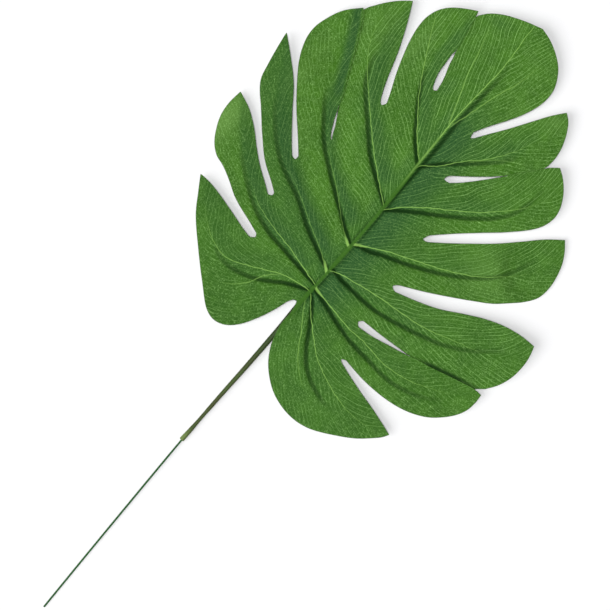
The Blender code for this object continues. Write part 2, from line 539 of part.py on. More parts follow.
def build_stem(material, collection):
    """Moulded stem: the midrib on the back of the blade, the stalk, and a lip with a bore for the wire."""
    table = smooth_axis(STEM_AXIS)
    side = 0.15
    outer = [(95.8, 0.25), (95.2, 0.55), (94, 0.78), (90, 0.9), (78, 0.98), (64, 1.08), (48, 1.18), (32, 1.25),
             (16, STEM_RADIUS), (0, STEM_RADIUS), (-14, STEM_RADIUS), (-28, STEM_RADIUS), (-40, 1.24), (-52, 1.15),
             (-62, 1.07), (-72, 1.0), (-78, STEM_NECK_RADIUS), (-83, 0.95), (-87, 1.12)]
    sections = [section(table, y, r) for y, r in outer]
    sections.append(section(table, -91, 1.18, side * 0.6))
    sections.append(section(table, -93.9, LIP_RADIUS, side))
    sections.append(section(table, -94.5, LIP_RADIUS - 0.08, side))
    sections.append(section(table, -94.5, BORE_RADIUS))
    sections.append(section(table, -90.5, BORE_RADIUS))
    sections.append(section(table, -94.5 + BORE_DEPTH, BORE_RADIUS))
    verts, faces = tube(sections, ROUND_SIDES, True, True)
    return mesh_object("stem", verts, faces, material, collection)


def build_wire(material, collection):
    """Coated wire, pushed into the stem's bore and cut square at its free end."""
    stem = smooth_axis(STEM_AXIS)
    free = smooth_axis(WIRE_AXIS)
    inner = [section(stem, -94.5 + WIRE_INSERT, WIRE_RADIUS), section(stem, -91.0, WIRE_RADIUS)]
    rest = [section(free, y, WIRE_RADIUS) for y in (-96, -104, -114, -126, -138, -150, -162, -174, -186, -197)]
    end = section(free, -207.1, WIRE_RADIUS)
    across = np.array([1.0, 0.0, 0.0])
    upright = np.array([0.0, 0.0, 1.0])
    x_end = axis_at(free, -207.1)[0] + 0.01
    lowest = WIRE_RADIUS * np.cos(np.pi / 12)
    rest.append((np.array([x_end - 0.1, -202.0, lowest]), WIRE_RADIUS, -across, upright))
    rest.append((np.array([x_end, -207.6, lowest]), WIRE_RADIUS, -across, upright))
    verts, faces = tube(inner + rest, 12, True, True)
    return mesh_object("stem_wire", verts, faces, material, collection)


def to_base_centre(objects):
    """Moves everything so that the middle of the base of the whole is the origin."""
    lo = [min(v.co[k] for o in objects for v in o.data.vertices) for k in range(3)]
    hi = [max(v.co[k] for o in objects for v in o.data.vertices) for k in range(3)]
    shift = Vector((-(lo[0] + hi[0]) / 2, -(lo[1] + hi[1]) / 2, -lo[2]))
    for obj in objects:
        for v in obj.data.vertices:
            v.co += shift
        obj.data.update()


def main():
    clear_scene()
    leaf = bpy.data.collections.new("monstera_leaf")
    bpy.context.scene.collection.children.link(leaf)
    green = principled("printed_fabric", (0.075, 0.19, 0.03), 0.55)
    olive = principled("moulded_plastic", (0.07, 0.085, 0.03), 0.5)
    coat = principled("green_coating", (0.03, 0.07, 0.045), 0.45)
    parts = [build_blade(green, leaf), build_stem(olive, leaf), build_wire(coat, leaf)]
    to_base_centre(parts)


main()
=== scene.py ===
"""Looks of the artificial monstera leaf: the printed and pressed fabric blade, the fused bead along its cut
edge, the moulded stem and the coated wire, lying face up on a pale table.

Drawing sizes are in millimetres in the leaf's own frame, with y up the midrib and y = 0 at the notch.
"""
import math

import bmesh
import bpy
import numpy as np
from bpy.props import FloatProperty, FloatVectorProperty, IntProperty, PointerProperty
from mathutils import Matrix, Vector
from mathutils.geometry import delaunay_2d_cdt


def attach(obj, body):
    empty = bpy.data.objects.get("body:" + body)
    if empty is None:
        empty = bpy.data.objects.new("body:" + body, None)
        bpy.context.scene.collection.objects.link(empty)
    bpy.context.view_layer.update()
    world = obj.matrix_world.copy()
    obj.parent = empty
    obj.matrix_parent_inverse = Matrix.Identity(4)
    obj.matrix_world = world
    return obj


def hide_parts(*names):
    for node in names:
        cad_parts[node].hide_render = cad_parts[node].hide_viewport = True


bl_info = {
    "name": "Artificial monstera leaf",
    "version": (1, 0, 0),
    "blender": (4, 5, 0),
    "location": "3D View > Sidebar > Monstera Leaf",
    "description": "Builds a printed fabric monstera leaf on a moulded stem and a coated wire",
    "category": "Object",
}

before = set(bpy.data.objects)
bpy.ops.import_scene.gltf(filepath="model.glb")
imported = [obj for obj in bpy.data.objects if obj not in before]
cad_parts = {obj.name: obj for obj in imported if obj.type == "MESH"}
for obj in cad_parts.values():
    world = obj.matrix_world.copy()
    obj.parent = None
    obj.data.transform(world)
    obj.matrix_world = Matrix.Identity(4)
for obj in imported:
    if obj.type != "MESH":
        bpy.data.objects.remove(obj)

MM = 0.001
# From the leaf's own frame to the row's frame
TO_ROW = np.array([-8.65, 8.95, 0.0])

# Pressed form of the blade. The seams' step and push are a little smaller than in the solid
LEVEL_OUT = 4.4
LEVEL_MIDRIB_EXTRA = 1.0
LEVEL_SPREAD = 14.0
RIDGE_HEIGHT = 1.2
RIDGE_HALF_WIDTH = 2.1
MIDRIB_GROOVE_DEPTH = 0.4
SEAM_HALF_GAP = 0.25
SEAM_STEP = 0.42
SEAM_PUSH = 0.62
PAD_RADIUS = 5.2
PAD_BLEND = 13.5
# Where the tip lobe begins on the midrib
TIP_START = 112.0
# The heights of two lobes even out where they part: how far along the slit, and how far to each side of it
EVEN_LENGTH = 9.0
EVEN_HALF_WIDTH = 5.0
EVEN_HALF_WIDTHS = {("L6", "TIP"): 9.0}
# Crisp lines that the hot stamp leaves in the grooves and beside the midrib
LINE_DEPTH = 0.3
LINE_HALF_WIDTH = 0.95
RIB_LINE_HALF_WIDTH = 0.75
# Spacing of points along the cut edge and round the end of a slit, and the least that two may be apart
EDGE_STEP = 1.1
END_STEP = 0.6
LEAST_STEP = 0.12
# How far printed lines are lengthened at both ends before distances from them are measured
EXTRA = 40.0
# How far to each side of a parting line the dark bands of two lobes blend
BAND_JOIN = 3.6
# Edges sharper than this are shaded as creases
CREASE = math.radians(50)

MIDRIB = [(2.6, -30), (2.4, -12), (2.2, 0), (2.6, 15), (3.2, 45), (3.0, 65), (2.2, 90), (1.7, 112),
          (1.4, 127), (2.0, 140), (3.0, 155), (3.0, 170), (5.8, 192)]

# Pressed grooves, each from the midrib out to its lobe's end
GROOVES = {
    "L1": [(2, 8), (-10, 3), (-20, -3.5), (-30, -8), (-42, -9.5), (-55, -4), (-68, 6), (-80, 16)],
    "L2": [(2, 12), (-20, 15.2), (-35, 17.5), (-45, 21), (-55, 26.5), (-68, 36), (-80, 47), (-92, 62)],
    "L3": [(2, 22), (-20, 32), (-35, 41), (-50, 47.7), (-62, 56), (-74, 69), (-84, 84), (-94, 101)],
    "L4": [(2, 40), (-20, 54.5), (-32, 63), (-42, 71), (-50, 80), (-58, 90.5), (-64, 102), (-69, 116),
           (-73, 136)],
    "L5": [(2, 67), (-20, 82), (-30, 92), (-40, 102), (-47, 110.5), (-51, 120), (-54, 134), (-55.2, 157)],
    "L6": [(1.8, 94), (-8, 104), (-14, 112), (-20, 121), (-25, 130.5), (-28, 140), (-29, 155),
           (-26.5, 175)],
    "R1": [(2.2, 92), (10, 101), (20, 110), (28, 117.5), (36, 126), (41, 138), (43.5, 164)],
    "R2": [(3, 64), (12, 71), (20, 76.5), (30, 83), (40, 90), (50, 98.5), (57, 108), (60, 122), (60, 140)],
    "R3": [(3.2, 41), (12, 43.5), (20, 47), (30, 50.5), (40, 55), (50, 60), (60, 66.5), (70, 75), (78, 88),
           (85.5, 113)],
    "R4": [(2.8, 24), (12, 22.8), (22, 22.2), (32, 22), (42, 23.3), (52, 25.4), (62, 28), (74, 32),
           (88, 40), (109, 61)],
    "R5": [(2.6, 10.5), (15, 7), (25, 4), (35, 1.5), (50, 0), (62, -1), (75, 1), (88, 7), (105, 23)],
    "R6": [(2.6, 7.5), (6, 5), (10, 0), (15, -8), (20, -16), (26, -22.8), (34, -28), (45, -31.5), (60, -31),
           (81, -23)],
}

# For each lobe: length of its pressed groove, fall per mm on the side towards the tip and on the side
# towards the stem, and how far its end is lifted or droops beyond the given distance along the groove
LOBES = {
    "L1": (46, 0.06, 0.04, -0.8, 40),
    "L2": (66, 0.15, 0.07, -1.4, 60),
    "L3": (76, 0.13, -0.03, 0.3, 50),
    "L4": (92, 0.17, 0.12, -1.3, 45),
    "L5": (78, 0.14, 0.11, -0.6, 45),
    "L6": (56, 0.12, 0.07, 0.4, 50),
    "TIP": (0, 0.03, 0.03, 0.6, 40),
    "R1": (44, 0.06, 0.08, 0.2, 40),
    "R2": (72, 0.07, 0.08, 0.5, 50),
    "R3": (80, 0.05, 0.06, -3.8, 20),
    "R4": (82, 0.05, 0.09, 1.8, 50),
    "R5": (74, 0.06, 0.07, -0.3, 60),
    "R6": (62, 0.08, 0.05, -0.6, 50),
}
LOBE_NAMES = list(LOBES)
# Middle of the flat spots that the leaf lies on
PADS = {"L4": (-79, 109), "R3": (82, 88)}

# Lines that part one lobe from the next, from the midrib through the slit to beyond the margin
PARTINGS = {
    ("L1", "L2"): [(2.4, 10), (-38, 10.7), (-50, 13.8), (-60, 17.2), (-70, 21.2), (-80, 24), (-97, 28)],
    ("L2", "L3"): [(2.5, 17), (-20, 24.5), (-46, 33.3), (-60, 42.6), (-70, 51.3), (-80, 61.5), (-90, 68),
                   (-102, 75)],
    ("L3", "L4"): [(2.8, 31), (-22, 42), (-48.5, 56), (-60, 68.2), (-70, 80.8), (-80, 92.5), (-94, 109)],
    ("L4", "L5"): [(3.2, 53), (-20, 63), (-40.3, 75), (-44.5, 82), (-48.5, 90), (-53, 100), (-58, 110.5),
                   (-62.5, 120), (-67.5, 130), (-71.7, 136.8), (-77, 146)],
    ("L5", "L6"): [(2.4, 82), (-16, 94), (-32.4, 106), (-38, 120), (-43.5, 136), (-48, 149), (-53, 166)],
    ("L6", "TIP"): [(1.7, 112), (-8, 120), (-16.5, 129.5), (-19.6, 141), (-21.2, 151.7), (-23.2, 161),
                    (-24.9, 170.6), (-26.5, 181)],
    ("R1", "TIP"): [(1.7, 112), (8, 117.5), (14, 123.5), (20, 132), (28.5, 146), (36, 160), (44, 176)],
    ("R2", "R1"): [(2.4, 84), (10, 91), (18, 98.5), (25, 103.8), (32.5, 111.3), (40.7, 119.5), (47, 126.5),
                   (52.3, 133.2), (58, 142)],
    ("R3", "R2"): [(3.1, 55), (15, 60), (30, 67), (40, 76), (50, 84.8), (60, 93.7), (70, 103.5), (80, 114),
                   (88, 122)],
    ("R4", "R3"): [(3.0, 33), (18, 35), (33.5, 38.2), (45, 42.2), (60, 48.5), (75, 57.5), (90, 66),
                   (106, 73)],
    ("R5", "R4"): [(2.7, 17), (15, 14.5), (31.8, 12), (48, 13.6), (62.7, 15.6), (75, 18), (85, 20.6),
                   (98.8, 24), (108, 26)],
    ("R6", "R5"): [(2.6, 8.5), (15, 1), (37.6, -8.4), (50, -11), (65, -13.5), (80, -15), (93, -16)],
}
# The inner end of each slit
SLIT_INNER = {
    ("L1", "L2"): (-38, 10.7), ("L2", "L3"): (-45.6, 33.2), ("L3", "L4"): (-48.6, 56),
    ("L4", "L5"): (-40.3, 75), ("L5", "L6"): (-32.4, 106), ("L6", "TIP"): (-16.5, 129.5),
    ("R1", "TIP"): (14, 123.5), ("R2", "R1"): (18, 98.5), ("R3", "R2"): (30, 67),
    ("R4", "R3"): (33.5, 38.2), ("R5", "R4"): (31.8, 12), ("R6", "R5"): (37.6, -8.4),
}
# Where two lobes lie one over the other: the first of each pair is on top
SEAMS = {
    ("L4", "L5"): ((-48.5, 90), (-71.7, 136.8)),
    ("L6", "TIP"): ((-21.2, 151.7), (-24.9, 170.6)),
    ("R2", "R1"): ((40.7, 119.5), (52.3, 133.2)),
    ("R5", "R4"): ((62.7, 15.6), (98.8, 24)),
}

# Margins, each a smooth run between two corners
LOBE_L1 = [(-3.4, -3.8), (-6, -12), (-10.2, -21.5), (-15, -29.3), (-20.5, -34.2), (-26.5, -35.8),
           (-32.5, -34), (-43, -25.2), (-56, -13.2), (-69, 0), (-75.8, 10), (-80.6, 17.3)]
SLIT_1_LOW = [(-80.6, 17.3), (-75, 17.1), (-68, 15.9), (-55, 12.6), (-45, 9.8), (-40.3, 8.9)]
SLIT_1_HIGH = [(-38.9, 12.9), (-45, 15), (-55, 18.2), (-60, 20.3), (-68, 25), (-75, 28.4), (-80.5, 30.2),
               (-85.5, 34.2), (-89.5, 40.2), (-92.5, 47.5), (-93.4, 55), (-92.7, 63.2)]
SLIT_2_LOW = [(-92.7, 63.2), (-88.5, 61.6), (-83.5, 59.4), (-75, 53.4), (-68, 47), (-60, 40.5), (-52, 35.2),
              (-47.3, 31.9)]
SLIT_2_HIGH = [(-45.4, 35), (-50, 38.2), (-60, 44.7), (-70, 54.3), (-80, 65), (-85, 70), (-88.8, 75.4),
               (-91, 84), (-92.8, 93), (-94.3, 102.1)]
SLIT_3_LOW = [(-94.3, 102.1), (-85, 94.3), (-75, 85), (-65, 72.2), (-55, 60), (-50.8, 55.4)]
SLIT_3_HIGH = [(-48, 57.6), (-55, 65.3), (-65, 75.9), (-75, 88.3), (-80, 95.5), (-83.2, 102),
               (-85.1, 108.5), (-85.2, 115), (-83.5, 121.2), (-79.5, 130), (-73, 137.6)]
LOBE_L5 = [(-70, 140.5), (-65, 147.8), (-60, 153.2), (-55.2, 157.2)]
SLIT_5_LOW = [(-55.2, 157.2), (-51.5, 150), (-44.5, 134), (-38.5, 116.5), (-35.8, 110), (-34.4, 107.2)]
SLIT_5_HIGH = [(-30.8, 108.2), (-33.3, 114.5), (-37, 123), (-40.2, 132), (-42.7, 140.5), (-44.2, 149),
               (-44.1, 155.5), (-42, 162), (-38, 167.2), (-32, 171.8), (-26.4, 175.1)]
HOLE_6_LEFT = [(-21.8, 149), (-21.4, 145), (-20.8, 138), (-19.2, 132.5), (-17.9, 129.6)]
HOLE_6_RIGHT = [(-15.2, 130.2), (-16.5, 137), (-19.0, 144.5), (-20.0, 149)]
LOBE_TIP_LEFT = [(-23.6, 173.8), (-20, 178.3), (-15, 182), (-9, 184.9), (-2, 187.5), (5.8, 189.7)]
LOBE_TIP_RIGHT = [(5.8, 189.7), (12, 188), (18.5, 184.8), (24.5, 180.2), (28.3, 175), (30.6, 169.5),
                  (31, 164), (30, 158), (27, 150), (22.5, 141.8), (17, 133), (13.2, 126.2)]
SLIT_7_RIGHT = [(16.1, 124.5), (20, 130.3), (26, 139), (33, 150), (38.5, 158.5), (43.5, 164.9)]
LOBE_R1 = [(43.5, 164.9), (47, 162), (50.5, 156.5), (53, 150), (53.9, 144), (53.6, 138.5)]
HOLE_8_HIGH = [(35, 114.3), (30, 110), (25, 105.9), (20, 102), (18.2, 100.5)]
HOLE_8_LOW = [(20.9, 97.6), (25, 101.3), (30, 106.6), (35, 112.3)]
LOBE_R2_TOP = [(55.8, 137), (59.9, 140.5)]
LOBE_R2 = [(59.9, 140.5), (64.5, 137.3), (69.5, 131.8), (73, 125.3), (74.1, 119.5), (72.8, 113.5),
           (69.5, 107.8), (60, 97.7), (50, 88.7), (40, 79.6), (30.6, 70.4)]
SLIT_9_LOW = [(32.3, 66.9), (40, 72.8), (50, 81), (60, 89.6), (70, 99.6), (78, 107.8), (85.9, 114.2)]
LOBE_R3 = [(85.9, 114.2), (89.5, 109.8), (92.8, 104), (95, 97), (95.9, 89.5), (94.8, 82.5), (90.5, 76),
           (85, 70.5), (79, 65), (70, 59.2), (59, 52.7), (48, 46.6), (40, 42.6), (35.6, 40.5)]
SLIT_10_LOW = [(36, 36.2), (45, 38.9), (52, 41.3), (60, 44.6), (70, 50.2), (80, 55.4), (90, 59.2),
               (100, 61.2), (109.2, 61.5)]
LOBE_R4 = [(109.2, 61.5), (110.9, 56), (111.6, 50), (111, 42), (108.6, 35), (104.5, 29)]
HOLE_11_HIGH = [(55, 15.3), (45, 14.6), (35.5, 14.3), (33.4, 14.2)]
HOLE_11_LOW = [(33.6, 10), (42, 10.8), (50, 12.5), (57, 14)]
LOBE_R5_TOP = [(102, 23.9), (105, 23.8)]
LOBE_R5 = [(105, 23.8), (105.2, 19), (104.3, 13.5), (101.5, 8), (97, 2.7), (91.5, -2), (84, -5.8),
           (75, -8.3), (64, -9.4), (52, -9), (44, -7.9), (40, -7.2)]
SLIT_12_LOW = [(39.3, -10), (46, -12.1), (56, -15), (66, -17.5), (76, -20.4), (81.9, -22.3)]
LOBE_R6 = [(81.9, -22.3), (79.8, -25.6), (76, -29.5), (70, -34.8), (60, -41), (50, -46), (44, -47.7),
           (37.5, -48.2), (30, -47.2), (22, -44.3), (15, -39.5), (9.5, -33.9), (5.3, -27), (3, -20.5),
           (1.8, -14), (1.9, -8), (1.4, -3.5)]

# The whole cut edge, clockwise from the notch at the stem. Two numbers are the round end of a slit between
# the runs before and after it. Two lobes and a side are one side of the narrow gap between them.
CUT_EDGE = [
    LOBE_L1, SLIT_1_LOW, (-37.6, 10.7), SLIT_1_HIGH, SLIT_2_LOW, (-45, 33), SLIT_2_HIGH,
    SLIT_3_LOW, (-48.2, 55), SLIT_3_HIGH, ("L4", "L5", 1), ("L4", "L5", -1), LOBE_L5,
    SLIT_5_LOW, (-32.3, 105.6), SLIT_5_HIGH, ("L6", "TIP", 1), HOLE_6_LEFT, (-16.5, 129), HOLE_6_RIGHT,
    ("L6", "TIP", -1), LOBE_TIP_LEFT, LOBE_TIP_RIGHT, (13.9, 122.5), SLIT_7_RIGHT, LOBE_R1,
    ("R2", "R1", 1), HOLE_8_HIGH, (17.4, 97.4), HOLE_8_LOW, ("R2", "R1", -1), LOBE_R2_TOP,
    LOBE_R2, (29.3, 66.6), SLIT_9_LOW, LOBE_R3, (33.1, 37.8), SLIT_10_LOW, LOBE_R4,
    ("R5", "R4", 1), HOLE_11_HIGH, (31.5, 12), HOLE_11_LOW, ("R5", "R4", -1), LOBE_R5_TOP,
    LOBE_R5, (37.5, -8.5), SLIT_12_LOW, LOBE_R6,
]
# From the last run back to the first, round the notch
NOTCH = [LOBE_R6[-1], (0.2, -0.5), (-1.6, -1.1), LOBE_L1[0]]

# Printed side veins: the line, how far out it stays bright, and how bright it is
PRINTED = {
    "L1": ([(2.2, 7.6), (-2, 7.5), (-15, 5), (-25, 0), (-30, -2.5), (-43, -7), (-54, -4.5), (-66, 4),
            (-78, 15)], 76, 0.8),
    "L2": ([(2.3, 12), (-20, 18), (-33, 20.5), (-45, 24), (-55, 29), (-68, 39), (-80, 51), (-91, 62)],
           62, 0.8),
    "L3": ([(2.4, 20.8), (-0.75, 23.3), (-4, 25.5), (-10, 29), (-20, 34.2), (-35, 43), (-50, 50),
            (-62, 58.5), (-74, 71), (-84, 86), (-94, 102)], 60, 0.35),
    "L4": ([(2.8, 38.3), (-0.15, 40), (-5, 43.2), (-12, 49), (-20, 56), (-32, 65), (-42, 73.5), (-50, 83),
            (-58, 94), (-64, 105), (-69, 118), (-73, 136)], 60, 0.35),
    "L5": ([(2.4, 66.5), (-10, 76.5), (-20, 84.8), (-30, 94.5), (-40, 104.5), (-50, 115), (-57, 125),
            (-62, 138), (-66, 152)], 100, 0.7),
    "L6": ([(1.8, 95.5), (-8, 105.5), (-14, 113), (-20, 121), (-27, 132), (-33, 143), (-40, 157),
            (-45, 169)], 98, 0.75),
    "TIP": ([(2.4, 80), (1.7, 100), (1.4, 112), (1.3, 125), (2, 140), (3.2, 160), (2.8, 170), (1.8, 180),
             (1.5, 192)],
            140, 1.0),
    "R1": ([(2.2, 89), (3, 94), (10, 100), (20, 112), (27, 119), (35, 130), (40, 140), (45, 148),
            (49, 160)], 70, 0.7),
    "R2": ([(3, 64), (12, 73.5), (20, 80), (33, 89), (40, 94), (50, 103), (56, 109.5), (61, 116),
            (66.8, 126.3), (69, 134)],
           88, 0.85),
    "R3": ([(3.2, 41), (5.5, 42.3), (12, 45.7), (20, 50), (30, 54), (40, 58), (51.8, 63.4), (63.8, 70.3),
            (73.5, 78.5), (81.7, 86.9), (90.1, 99.1), (94, 107)], 96, 0.85),
    "R4": ([(2.8, 22.5), (8, 24.5), (20, 27), (30, 28.5), (50, 30.5), (60, 32), (70, 35), (80, 38),
            (90, 41), (103, 48), (113, 57)], 92, 0.85),
    "R5": ([(2.6, 11.2), (5, 10.6), (20, 8), (30, 6.3), (40, 6), (55, 4), (65, 4.5), (75, 7), (85, 11),
            (92, 14), (106, 24)], 92, 0.8),
    "R6": ([(2.6, 8), (8, 1.5), (13, -3.5), (20, -10), (28, -16.5), (40, -22), (50, -25.5), (60, -27),
            (70, -26.5), (84, -24)], 84, 0.8),
}
# Thinner printed veins that leave the first ones, with the lobe that each is in
BRANCHES = {
    "L1": [(-14.4, 4.8), (-18.5, 1.8), (-21.6, -2.2), (-25.2, -9.1), (-29, -13.7), (-36, -18.8),
           (-44, -23)],
    "TIP_LEFT": [(1.5, 118), (-2, 128), (-5.5, 138), (-9, 148), (-12, 160.5), (-16, 174), (-18, 183)],
    "TIP_RIGHT": [(1.5, 118), (5, 130), (10, 148), (15, 162), (18, 180), (19, 190)],
    "R1": [(20, 110), (27, 118.5), (35, 125), (45, 131), (54, 136)],
    "R6": [(1.8, 5), (3.2, 2.7), (4.8, 0), (8, -5), (11.9, -10.3), (16.3, -17.5), (22, -25), (30.3, -31.5),
           (37.7, -36.2)],
}
# How bright each lobe's thinner veins are, and how far out they begin and end to fade
BRANCH_INKS = {"L1": (0.45, 16, 38), "TIP": (0.5, 34, 66), "R1": (0.2, 14, 40), "R6": (0.5, 26, 56)}
# How much painted shade darkens each whole lobe
SHADES = {"L1": 0.2, "L2": 0.05, "L3": 0.42, "L4": 0.0, "L5": 0.0, "L6": 0.0, "TIP": 0.05,
          "R1": 0.05, "R2": 0.08, "R3": 0.1, "R4": 0.15, "R5": 0.15, "R6": 0.3}
# How clear the fine side veins are printed in each lobe
FINE_VEINS = {"L1": 0.5, "L2": 0.55, "L3": 0.5, "L4": 0.6, "L5": 0.85, "L6": 0.9, "TIP": 0.95,
              "R1": 0.85, "R2": 0.8, "R3": 0.75, "R4": 0.85, "R5": 0.56, "R6": 0.62}
# How dark the pressed lines left and right of the midrib are (part print, part painted shade of the
# ridge's flanks), and how bright its printed line, by place along it
RIB_LEFT = [(-8, 0), (0, 0.1), (9, 0.12), (15, 0.5), (22, 0.15), (34, 0.2), (44, 0.5), (54, 0.4),
            (66, 0.1), (76, 0)]
RIB_RIGHT = [(-8, 0), (4, 0.2), (14, 0.65), (24, 0.4), (34, 0.22), (44, 0.35), (56, 0.65), (70, 0.75),
             (90, 0.92), (120, 0.88), (144, 0.75), (158, 0.3), (166, 0)]
RIB_BRIGHT = [(76, 0), (90, 0.45), (104, 0.8), (116, 0.45), (128, 0)]
# How wide the midrib's plain back shows, as a share of its full width, by place along it
RIB_WIDTH = [(9, 1.0), (13, 0.5), (22, 0.5), (27, 1.0), (38, 1.0), (42, 0.6), (58, 0.7), (70, 0.9),
             (78, 1.0)]
# Lighter patches, part paler print and part painted light on folds that face the light: middle, half
# sizes and strength
PATCHES = [((-90, 48), (7.5, 16), 0.95), ((-60, 132), (8, 16), 0.25), ((66, 74), (13, 11), 0.45),
           ((-76, 106), (7, 14), 0.2), ((-76, 90), (6, 12), 0.4), ((-39, 140), (6, 16), 0.35),
           ((-58, 63), (6, 9), 0.35), ((41, 158), (8, 5), 0.35)]
# Darker patches, part darker print and part painted shade, in the same form
SHADOWS = [((-39, 103), (5, 10), 0.4), ((-42, 74), (4, 6), 0.45), ((-10, 78), (7, 7), 0.45),
           ((-27, 92), (6, 8), 0.4), ((-12, 134), (4, 8), 0.45), ((23, 26), (6, 6), 0.4),
           ((-3, 28), (4, 6), 0.35), ((8, 47), (5, 6), 0.35), ((-13, 178), (6, 4), 0.4)]
# Lobes whose vein starts as a thick bright root at the midrib
ROOTS = {"L3": 7.0, "L4": 8.0, "R3": 6.0, "R5": 6.0}
# Grooves whose dark ink, part print and part painted shade, stops short, with the length where it ends
INK_ENDS = {"L4": 88, "L5": 88, "L6": 54, "R6": 68}
# How dark the band beside each groove is, on the side towards the tip: part print, part painted shade
BANDS = {"L1": 0.25, "L2": 0.75, "L3": 0.85, "L4": 0.8, "L5": 0.6, "L6": 0.5, "TIP": 0.0,
         "R1": 0.4, "R2": 0.45, "R3": 0.3, "R4": 0.3, "R5": 0.3, "R6": 0.2}
# How much of a band fades towards the lobe's end, and between which lengths, by lobe or by side
BAND_FADES = {"L4": (1.0, 70, 94), "L": (0.6, 70, 110), "R": (1.0, 48, 82), "T": (0.6, 70, 110)}

# Stem and wire, as (y, x, height of the middle)
STEM_AXIS = [(96, 2.0, 4.85), (70, 2.9, 4.85), (45, 3.2, 4.85), (20, 2.75, 4.85), (0, 2.2, 4.65),
             (-20, 2.55, 3.4), (-45, 2.4, 2.7), (-60, 2.1, 2.45), (-80, 1.85, 2.15), (-94.5, 1.7, 1.95)]
WIRE_AXIS = [(-94.5, 1.7, 1.95), (-110, 1.85, 1.7), (-150, 2.45, 1.0), (-180, 3.0, 0.65),
             (-207.6, 3.6, 0.5)]
STEM_RADII = [(95.8, 0.25), (95.2, 0.55), (94, 0.78), (90, 0.9), (78, 0.98), (64, 1.08), (48, 1.18),
              (32, 1.25), (16, 1.3), (0, 1.3), (-14, 1.3), (-28, 1.3), (-40, 1.24), (-52, 1.15),
              (-62, 1.07), (-72, 1.0), (-74.3, 0.98), (-75.2, 0.91), (-78, 0.9), (-83, 0.95), (-87, 1.12),
              (-91, 1.18), (-93.9, 1.28)]
BORE_RADIUS = 0.82
BORE_DEPTH = 8.0
WIRE_INSERT = 7.0
# Where the stem's lip and the wire's coating end, as y
STEM_END = -94.5
WIRE_END = -207.4
# Colour of the wire's bare steel core
STEEL = "b9b8b4"


def linear(code):
    """sRGB hex such as 4b7832 to linear red, green, blue."""
    parts = [int(code[i:i + 2], 16) / 255 for i in (0, 2, 4)]
    return tuple(c / 12.92 if c <= 0.04045 else ((c + 0.055) / 1.055) ** 2.4 for c in parts)


def colour(name, code, words):
    return FloatVectorProperty(name=name, description=words, subtype="COLOR", size=3, min=0.0, max=1.0,
                               default=linear(code))


class MonsteraLeafSizes(bpy.types.PropertyGroup):
    """Sizes of the leaf's own pieces."""
    thickness: FloatProperty(name="Blade thickness", description="Thickness of the fabric blade in mm",
                             default=0.75, min=0.4, max=2.0)
    rim: FloatProperty(name="Rim thickness", description="Thickness at the heat-cut rim in mm",
                       default=0.46, min=0.2, max=1.0)
    grid: FloatProperty(name="Mesh grid", description="Spacing of the blade's mesh points in mm",
                        default=1.15, min=0.9, max=6.0)
    groove: FloatProperty(name="Groove depth", description="Depth of the pressed vein grooves in mm",
                          default=1.1, min=0.0, max=2.0)
    groove_half_width: FloatProperty(name="Groove half width",
                                     description="Half width of the pressed grooves in mm", default=1.5,
                                     min=0.5, max=4.0)
    weave: FloatProperty(name="Weave pitch", description="Distance from thread to thread as drawn, in mm",
                         default=1.05, min=0.1, max=3.0)
    bead: FloatProperty(name="Edge bead radius",
                        description="Radius of the fused bead on the cut edge in mm", default=0.18,
                        min=0.05, max=1.0)
    flash: FloatProperty(name="Parting line", description="Height of the stem's parting line in mm",
                         default=0.05, min=0.0, max=0.3)
    wire: FloatProperty(name="Wire radius", description="Radius of the coated wire in mm", default=0.5,
                        min=0.2, max=2.0)
    sides: IntProperty(name="Round sides", description="Faces round the stem and the wire", default=28,
                       min=8, max=96)


class MonsteraLeafColours(bpy.types.PropertyGroup):
    """Colours of the print, the mouldings and the coating."""
    leaf: colour("Leaf green", "305c12", "Ground colour of the print")
    leaf_light: colour("Light green", "41711b", "Lighter patches of the print")
    # Pale green: part paler print, part painted light on folds that face the light
    pale: colour("Pale green", "5c873a", "Pale patches of the print")
    # Band green: dark bands, part airbrushed print and part painted shade
    band: colour("Band green", "265024", "Airbrushed dark bands beside the veins")
    # Groove green: dark lines in the grooves, part print and part painted shade
    groove: colour("Groove green", "0b2c06", "Dark printed lines in the grooves")
    vein: colour("Vein green", "8ab85a", "Bright printed veins")
    fleck: colour("Fleck green", "98c973", "Fine printed veins and flecks")
    rib: colour("Midrib green", "3b671f", "The midrib's raised back")
    reverse: colour("Reverse green", "4f6e3d", "The unprinted back of the fabric")
    edge: colour("Cut edge", "3a4d1e", "Fabric fused by the hot cut")
    olive: colour("Stem olive", "41491f", "Moulded stem")
    stem_green: colour("Stem green", "405c22", "Greener mottling on the stem")
    lip: colour("Lip green", "6c8142", "The pale lip at the stem's lower end")
    coat: colour("Wire coating", "275f27", "Dark green coating of the wire")


class MonsteraLeafStage(bpy.types.PropertyGroup):
    """Table, light and camera."""
    floor: colour("Table colour", "f4f4f5", "Matt pale table")
    key: FloatProperty(name="Key light", description="Strength of the soft light from the side",
                       default=1.85, min=0.0, max=20.0)
    top: FloatProperty(name="Top light", description="Strength of the small light almost straight above",
                       default=2.1, min=0.0, max=20.0)
    fill: FloatProperty(name="Fill light", description="Strength of the even light from all round",
                        default=0.09, min=0.0, max=5.0)
    height: FloatProperty(name="Key height", description="Height of the key light above the table's horizon",
                          default=math.radians(41), min=0.05, max=1.57, subtype="ANGLE", unit="ROTATION")
    softness: FloatProperty(name="Key softness", description="Width of the key light as seen from the leaf",
                            default=math.radians(52), min=0.0, max=1.57, subtype="ANGLE", unit="ROTATION")


